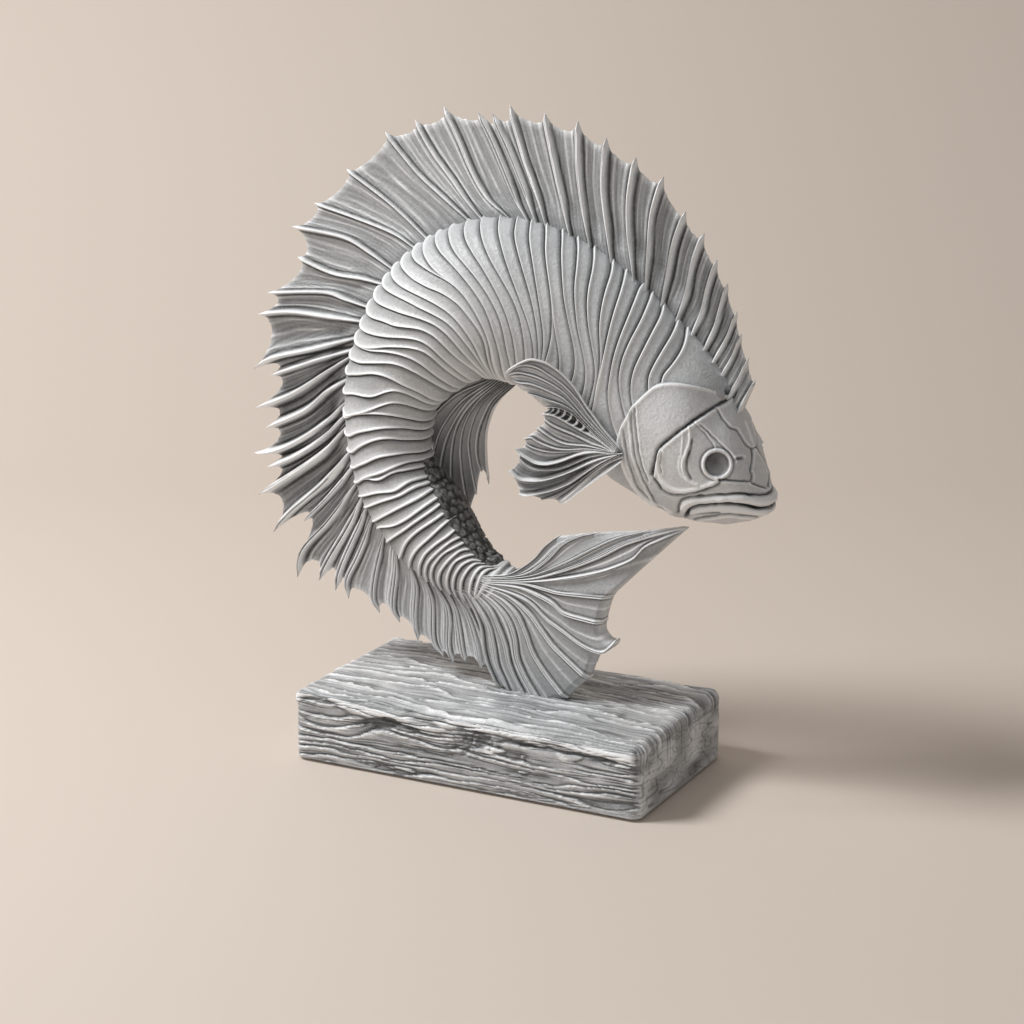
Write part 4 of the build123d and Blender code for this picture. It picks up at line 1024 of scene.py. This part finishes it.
# Side fins: one casting on each flank behind the gill, glued and pinned by its thick root. The upper lobe is
# a long leaf, a narrow window with cross bars lies under it, and the lower lobe has deep folds.
side_root = np.array((62, -24, 152))
near_flare = radians(24)
far_flare = radians(10)
side_rays = [
    [(618.2, 444.5), (606.6, 431.8), (596.1, 418.2), (586.6, 405.5), (575, 387.6), (562.4, 373.9),
     (547.6, 363.4),
     (535, 359.4), (527.6, 359.4), (518.2, 363.4), (508.7, 369.2), (503.4, 374.5)],
    [(616, 445), (603, 431.5), (588.5, 414.9), (577, 399.2), (562.4, 384.5), (547.6, 374), (537.1, 367.7),
     (526.6, 365), (516, 366.5), (505, 374.6)],
    [(615, 446), (601, 433), (586.6, 418.2), (575.1, 404.5), (565, 393.5), (553, 385), (541, 379),
     (531.8, 375.5), (518.2, 372.5), (507, 374.8)],
    [(614, 447), (599, 434), (585, 420.5), (574, 408.5), (563, 398.5), (549.7, 391.7), (539.2, 387),
     (528.7, 383.6), (518.2, 382.6), (511.9, 379.8)],
    [(613, 447.5), (598, 435), (583.5, 421.5), (573.5, 411), (562, 404.5), (549, 400.2), (537.1, 396),
     (527.6, 393.9)],
    [(612, 448), (597, 436), (582, 423), (572.5, 414), (562.5, 409), (554, 407), (546.6, 407.6)],
    [(611.5, 448.5), (596, 438), (581.3, 430.2), (570.8, 424.4), (560.3, 418.6), (550.8, 414.4),
     (541.4, 413.9)],
    [(611, 449), (600.3, 445), (592.9, 442.9), (582.4, 438.2), (572.9, 433.9), (560.3, 428.7), (551.8, 424.5),
     (543.9, 418.7)],
    [(611, 449.5), (597, 447), (585.5, 445), (575, 444.5), (565.5, 443.5), (556.1, 440), (547.6, 435),
     (537.1, 427.6)],
    [(611, 450), (597, 448.5), (582.5, 448), (568.7, 449), (556.1, 448.2), (545.5, 445), (537.1, 441.3),
     (529.7, 437.1), (522.9, 439.2)],
    [(611, 450.5), (597, 449.5), (582, 450), (568, 451.5), (557, 452), (545.5, 451), (535, 448.4),
     (525.6, 444)],
    [(618.2, 451.3), (605.5, 451.3), (596.1, 450.7), (584.5, 452), (573.9, 455.2), (563.4, 459.4),
     (552.9, 462.6),
     (543.4, 463.9), (533.9, 462.4), (524.5, 457.1), (518.2, 452.9), (515, 448.2)],
    [(617, 452), (605, 453), (596.1, 454.5), (587.6, 457), (577.1, 461.8), (566.6, 466.4), (556.1, 469.4),
     (545.5, 470), (535, 468.9), (526.6, 465), (519, 457.7)],
    [(615, 453), (600.3, 457.3), (587.6, 462.3), (572.9, 469.7), (558.2, 475.5), (542.4, 479.9),
     (526.6, 480.3),
     (518.2, 478.3), (508.7, 470.8)],
    [(614, 454), (597.5, 463.4), (583.4, 473.4), (569.7, 482.7), (553.9, 489.5), (540.3, 492.9),
     (526.6, 495.5),
     (518.7, 494.5)],
    [(616, 455.5), (601, 464.5), (588, 474.5), (575, 484.5), (560, 493.5), (541.3, 500.3)],
    [(619.2, 456.5), (608.7, 461), (596.8, 469.4), (586.2, 478.7), (575.6, 488.7), (566.9, 496.1),
     (558.5, 502.4)],
    [(618, 462), (605, 473), (592.8, 481.3), (580.2, 490.8), (569.7, 499.2), (560.5, 504)],
]
side_ridge = (1.0, 0.7, 0.8, 0.9, 0.9, 0.5, 0.9, 1.0, 1.0, 0.9, 0.6, 1.5, 1.0, 1.6, 1.5, 0.9, 1.5, 1.6)
side_width = (
    0.6, 0.4, 0.4, 0.45, 0.45, 0.4, 0.45, 0.45, 0.45, 0.45, 0.4, 0.7, 0.55, 0.75, 0.75, 0.55, 0.9, 1.5,
)
side_pleat = (0.4, 0.6, 0.8, 1.0, 0.8, 1.2, 0.8, 1.0, 1.0, 0.8, 1.6, 1.8, 2.6, 3.2, 2.8, 1.8, 1.2, 0.5)
side_foot = 1.8
side_columns = 14
side_rows = 64
window = 5
window_start = 0.30
window_end = 0.95
window_length = 0.65
window_depth = 1.5
bars = 7
bar_rise = 1.7


def flared(flare, side):
    """The backward, upward and outward directions of a side fin that stands off the flank by an angle."""
    back_way = np.array((-cos(flare), side * sin(flare), 0))
    return np.stack([back_way, (0, 0, 1), (sin(flare), side * cos(flare), 0)])


near_ways = flared(near_flare, -1)
local_rays = []
for pixels in side_rays:
    ray = fin_ray(pixels, side_root, near_ways[2], side_foot)
    local_rays.append((ray - side_root) @ near_ways.T)
for name, node, flare, side in (("pectoral_right_casting", "pectoral_fin_right", near_flare, -1),
                                ("pectoral_left_casting", "pectoral_fin_left", far_flare, 1)):
    ways = flared(flare, side)
    root = side_root * (1, -side, 1)
    rays = [root + ray @ ways for ray in local_rays]
    front, back, proud = fan_sheet(rays, ways[2], 3.4, 0.5, side_ridge, side_width, side_pleat, 0.5, 0.9, 2,
                                   seed=23, columns=side_columns, rows=side_rows, fall=4, root_tone=-0.05)
    share = np.linspace(0, 1, side_rows)
    strip = slice(window * side_columns + 2, (window + 1) * side_columns - 1)
    sunk = unit((share - window_start) / 0.06) * unit((window_end - share) / 0.05)
    rung = unit(np.cos((share - window_start) / window_length * bars * 2 * pi) * 2.2 - 0.5)
    depth = (window_depth - bar_rise * rung) * sunk
    front[strip] -= ways[2] * depth[:, None]
    # Painted shade in the window between its bars, and the bars paler
    proud[strip] = unit(proud[strip] - 0.55 * sunk * (1 - rung) + 0.4 * rung * sunk)
    casting = sheet_piece(name, front, back, proud)
    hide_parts(node)

# Belly fin: one thin drooping sheet on the far side of the body, glued and pinned under the curl. Its rays
# run from the root in long curves to ragged points.
belly_fin_root = (-4, 5, 172)
belly_fin_tilt = radians(14)
belly_fin_rays = [
    [(517, 384), (502, 398), (493, 411), (487, 430), (486, 448), (487, 467), (489, 484)],
    [(511, 383), (493, 399), (483, 417), (477, 437), (477, 456), (482, 472)],
    [(506, 382), (486, 399), (475, 417), (469, 441), (471, 463), (474, 480), (477, 495)],
    [(501, 381.5), (480, 400), (466, 422), (461, 445), (462, 471), (466, 496), (470, 515)],
    [(498, 381), (474, 401), (458, 424), (452, 448), (451, 474), (452, 496)],
    [(495, 380.5), (468, 402), (450, 430), (442, 456), (440, 483)],
    [(492, 380), (462, 401), (443, 426), (435, 448), (433, 462)],
    [(488, 379), (459, 393), (439, 410), (431, 422), (428, 436)],
    [(484, 374), (452, 386), (429, 402), (416, 418), (412, 434)],
]
belly_out = np.array((0, -cos(belly_fin_tilt), -sin(belly_fin_tilt)))
rays = [fin_ray(pixels, belly_fin_root, belly_out, 5.0) for pixels in belly_fin_rays]
# The fin lies in the curl's shade, which its darker root tone paints in
front, back, proud = fan_sheet(rays, belly_out, 3.6, 0.4, 0.8, 0.45, 0.9, 1.2, 1.6, 0, seed=31,
                               fall=3, scratched=0.03, root_tone=-0.3)
belly_fin = sheet_piece("pelvic_fin_casting", front, back, proud)
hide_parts("pelvic_fin")

# Base: a rounded rectangular block of the same resin, cast with a carved wood grain. Its top and front have
# long wavy grooves, the front has a ledge with cracks and a knot, and the grain bends down over both ends.
base_half = np.array((84.2, 44.8, 0))
base_low = 1.5
base_high = base_top
base_round = 4.6
step_along = 1.3
step_across = 0.38
top_stretch = 2.2
front_crack = [
    (303, 699), (308.8, 697.9), (327.6, 700.5), (346.4, 712.7), (376, 720), (405.6, 726.8), (432.6, 735.5),
    (456.8, 728.8), (470.2, 731.5), (502.5, 739.6), (540.2, 747.6), (594, 758.4), (626, 765),
]
front_cavity = ((381, 724), (17, 5.5), 2.6)
front_knot = ((475, 742), (20, 10), 1.2)
layer_height = 3.3
thread_gap = 1.25
cut_depth = 0.7
bead_height = 0.3
grain_tone = 0.47
darkest_tone = 0.16
crack_depth = 1.8
ledge_height = 0.7


def wood_grain(length, width, ledges, seed):
    """The height of carved grain that runs along its first coordinate, in millimetres."""
    drift = 3.0 * lattice_noise(length / 48, width / 24, seed)
    drift = drift + 0.8 * lattice_noise(length / 14, width / 8, seed + 1)
    line = width + drift
    # Ledges: layers of uneven height, each with a groove at its foot
    layer = line / layer_height + 0.9 * lattice_noise(length / 34, line / 3.4, seed + 2)
    layer = layer + 0.16 * lattice_noise(length / 5, line / 2.5, seed + 7)
    share = layer - np.floor(layer)
    strength = np.clip(0.7 + 0.8 * lattice_noise(length / 24, np.floor(layer) + 0.5, seed + 3), 0.15, 1.3)
    # Fine cuts along the grain, broken here and there, and beads along the ledges' tops
    thread = line / thread_gap + 0.8 * lattice_noise(length / 22, line / 1.6, seed + 4)
    thread = np.abs(thread - np.round(thread))
    broken = unit(0.65 + 1.1 * lattice_noise(length / 16, line / 1.3, seed + 5))
    beads = unit(1.6 * lattice_noise(length / 1.6, line, seed + 6))
    ledge = (share - 0.5) * strength - 0.9 * strength * bell(share, 0.13)
    cuts = cut_depth * broken * bell(thread, 0.19)
    return ledges * ledge - cuts + bead_height * beads * (np.abs(share - 0.86) < 0.12)


def carved_base():
    """The block's points and faces, rounded at the top and the upright edges, with the grain cut in."""
    # Flat sheets of points for the top and the four sides, joined along their shared edges
    x_count = int(round(2 * base_half[0] / step_along))
    y_count = int(round(2 * base_half[1] / step_across))
    z_count = int(round((base_high - base_low) / step_across))
    xs = np.linspace(-base_half[0], base_half[0], x_count + 1)
    ys = np.linspace(-base_half[1], base_half[1], y_count + 1)
    zs = np.linspace(base_low, base_high, z_count + 1)
    sheets = [np.stack(np.meshgrid(xs, ys, [base_high], indexing="ij"), -1)[:, :, 0]]
    for side in (-1, 1):
        sheets.append(np.stack(np.meshgrid(xs, [side * base_half[1]], zs, indexing="ij"), -1)[:, 0])
        sheets.append(np.stack(np.meshgrid([side * base_half[0]], ys, zs, indexing="ij"), -1)[0])
    points = []
    faces = []
    for sheet in sheets:
        index = np.arange(sheet.shape[0] * sheet.shape[1]).reshape(sheet.shape[:2]) + sum(map(len, points))
        quads = np.stack([index[:-1, :-1], index[1:, :-1], index[1:, 1:], index[:-1, 1:]], -1)
        faces.append(quads.reshape(-1, 4))
        points.append(sheet.reshape(-1, 3))
    points = np.concatenate(points)
    faces = np.concatenate(faces)
    kept, where = np.unique(np.round(points, 4), axis=0, return_inverse=True)
    faces = where.reshape(-1)[faces]
    # Rounded edges: every point is set off from a smaller block inside
    low = np.array((base_round - base_half[0], base_round - base_half[1], -1e3))
    high = np.array((base_half[0] - base_round, base_half[1] - base_round, base_high - base_round))
    core = np.clip(kept, low, high)
    normals = kept - core
    normals /= np.maximum(np.linalg.norm(normals, axis=1, keepdims=True), 1e-9)
    rounded = core + normals * base_round
    # Grain: the top's runs down over both ends, and the long sides carry their own
    x, y, z = kept.T
    down = base_high - z
    pull = np.abs(normals) ** 3
    pull /= pull.sum(axis=1, keepdims=True)
    rolled = np.where(normals[:, 1] < 0, -1, 1) * (base_half[1] / top_stretch + down)
    top = wood_grain(x, y / top_stretch, 1.0, 3)
    side = wood_grain(x, rolled, 0.75 + 0.25 * unit(down / 6), 3)
    reach = 8 + 7 * lattice_noise(y / 3.1, x * 0, 17)
    wrapped = top * unit(1.3 - down / np.maximum(reach, 1.5))
    scratches = -0.30 * bell(lattice_noise(y / 7 + z / 14, z / 1.7 + y / 20, 23), 0.10)
    scratches -= 0.45 * bell(lattice_noise(y / 16, z / 3.4 + y / 30, 27), 0.05)
    scratches += 0.35 * lattice_noise(y / 13, z / 6, 29)
    end = wrapped + scratches * unit(down / 6)
    height = top * pull[:, 2] + side * pull[:, 1] + end * pull[:, 0]
    # The front's ledge with its crack, cavity and knot
    front = (normals[:, 1] < -0.3) & (z < base_high - 1)
    places = seen_at(rounded)
    gap, which = from_line(places, front_crack)
    ragged = lattice_noise(places[:, 0] / 9, places[:, 1] / 3, 31)
    deep = np.clip(0.6 + lattice_noise(places[:, 0] / 16, places[:, 1] * 0, 33), 0.1, 1.2)
    gap = gap * which
    crack = -crack_depth * deep * bell(gap - 1.6 * ragged, 1.5)
    ledge = ledge_height * bell(gap + 6, 4)
    height = height + np.where(front, crack + ledge, 0)
    for (middle, reach, depth), rough in ((front_cavity, 0.5), (front_knot, 1.5)):
        away = np.hypot(*((places - middle) / reach).T) + 0.45 * lattice_noise(*(places / (5, 2.5)).T, 35)
        pit = -depth * np.exp(-away ** 4)
        chips = rough * lattice_noise(places[:, 0] / 3, places[:, 1] / 2, 37) * np.exp(-away ** 2)
        height = height + np.where(front, pit + chips, 0)
    height *= unit(z - base_low)
    # The bottom is one flat face round the lowest points
    edge = np.flatnonzero(kept[:, 2] < base_low + 1e-3)
    angle = np.arctan2(kept[edge, 1] * base_half[0], kept[edge, 0] * base_half[1])
    bottom = [int(place) for place in edge[np.argsort(-angle)]]
    # Tones: paler on the ledges, dark with wash and painted shade in the cuts, cracks and pits
    tone = np.clip(grain_tone + height / 1.7, darkest_tone, 1)
    return rounded + normals * height[:, None], [*faces.tolist(), bottom], tone


points, faces, tone = carved_base()
block = new_piece("base_casting", points, faces, tone)
block.data.materials.append(resin)
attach(block, "root")
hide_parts("base_block")

# Hardware inside the fish and the base: dowels, pins and studs of zinc-plated steel, which the castings all
# but hide, and a sheet of dark felt glued under the base. Their shapes are the assembly's own.
def rough_surface(name, pale, deep, scale, metal, gloss, relief):
    """A clouded and finely pitted material from two colours, for metal or cloth."""
    material = bpy.data.materials.new(name)
    material.use_nodes = True
    tree = material.node_tree
    place = add_node(tree, "ShaderNodeTexCoord", {}).outputs["Object"]
    noise = add_node(tree, "ShaderNodeTexNoise", {"Vector": place, "Scale": scale, "Detail": 6})
    cloud = noise.outputs["Fac"]
    colour = add_node(tree, "ShaderNodeValToRGB", {"Fac": cloud})
    colour.color_ramp.elements[0].color = (*deep, 1)
    colour.color_ramp.elements[1].color = (*pale, 1)
    worn = add_node(tree, "ShaderNodeMapRange", {"Value": cloud, "To Min": gloss[0], "To Max": gloss[1]})
    pits = add_node(tree, "ShaderNodeBump", {"Strength": 0.5, "Distance": relief, "Height": cloud})
    fill_sockets(tree, tree.nodes["Principled BSDF"], {
        "Metallic": metal, "Base Color": colour.outputs["Color"], "Roughness": worn.outputs["Result"],
        "Normal": pits.outputs["Normal"],
    })
    return material


steel = rough_surface("zinc_plate", (0.72, 0.73, 0.75), (0.46, 0.47, 0.50), 160, 1, (0.24, 0.44), 0.00005)
felt = rough_surface("felt", (0.075, 0.07, 0.066), (0.03, 0.028, 0.027), 2400, 0, (0.9, 1.0), 0.0004)
for name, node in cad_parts.items():
    node.data.materials.clear()
    hardware = any(word in name for word in ("pin", "dowel", "stud"))
    node.data.materials.append(felt if name == "felt_sheet" else steel if hardware else resin)

# Light and floor: soft daylight from a window on the left over a pale floor, which curves up into a wall
# behind the base. A weak lamp behind the camera lifts the shadows.
wide = 4.0
floor_front = 4.0
wall_place = 0.95
wall_height = 3.0
cove = 0.45
profile = [(-floor_front, 0.0)]
for degrees in range(0, 91, 6):
    bend = radians(degrees)
    profile.append((wall_place - cove + cove * sin(bend), cove - cove * cos(bend)))
profile.append((wall_place, wall_height))
view_turn = atan2(camera_place[0], -camera_place[1])
corners = []
for back, height in profile:
    for across in (-wide, wide):
        corners.append((across * cos(view_turn) - back * sin(view_turn),
                        across * sin(view_turn) + back * cos(view_turn), height))
quads = [(2 * k, 2 * k + 1, 2 * k + 3, 2 * k + 2) for k in range(len(profile) - 1)]
floor_mesh = bpy.data.meshes.new("floor")
floor_mesh.from_pydata(corners, [], quads)
floor_mesh.shade_smooth()
floor = bpy.data.objects.new("floor", floor_mesh)
bpy.context.scene.collection.objects.link(floor)
floor_paint = bpy.data.materials.new("floor_paint")
floor_paint.use_nodes = True
fill_sockets(floor_paint.node_tree, floor_paint.node_tree.nodes["Principled BSDF"], {
    "Base Color": (0.68, 0.60, 0.53, 1), "Roughness": 0.7,
})
floor.data.materials.append(floor_paint)

world = bpy.data.worlds.new("room")
bpy.context.scene.world = world
world.use_nodes = True
fill_sockets(world.node_tree, world.node_tree.nodes["Background"], {
    "Color": (0.79, 0.78, 0.77, 1), "Strength": 0.37,
})


def lamp(name, place, aim, size, watts):
    """A soft square lamp that points at a place."""
    light = bpy.data.objects.new(name, bpy.data.lights.new(name, "AREA"))
    light.data.size = size
    light.data.energy = watts
    light.location = place
    light.rotation_euler = (Vector(aim) - Vector(place)).to_track_quat("-Z", "Y").to_euler()
    bpy.context.scene.collection.objects.link(light)
    return light


lamp("window", (-0.85, -0.6, 1.3), (0, 0, 0.14), 0.5, 23)
lamp("fill", (0.2, -1.9, 0.7), (0, 0, 0.14), 1.2, 2)

bpy.context.scene.view_settings.view_transform = "Standard"
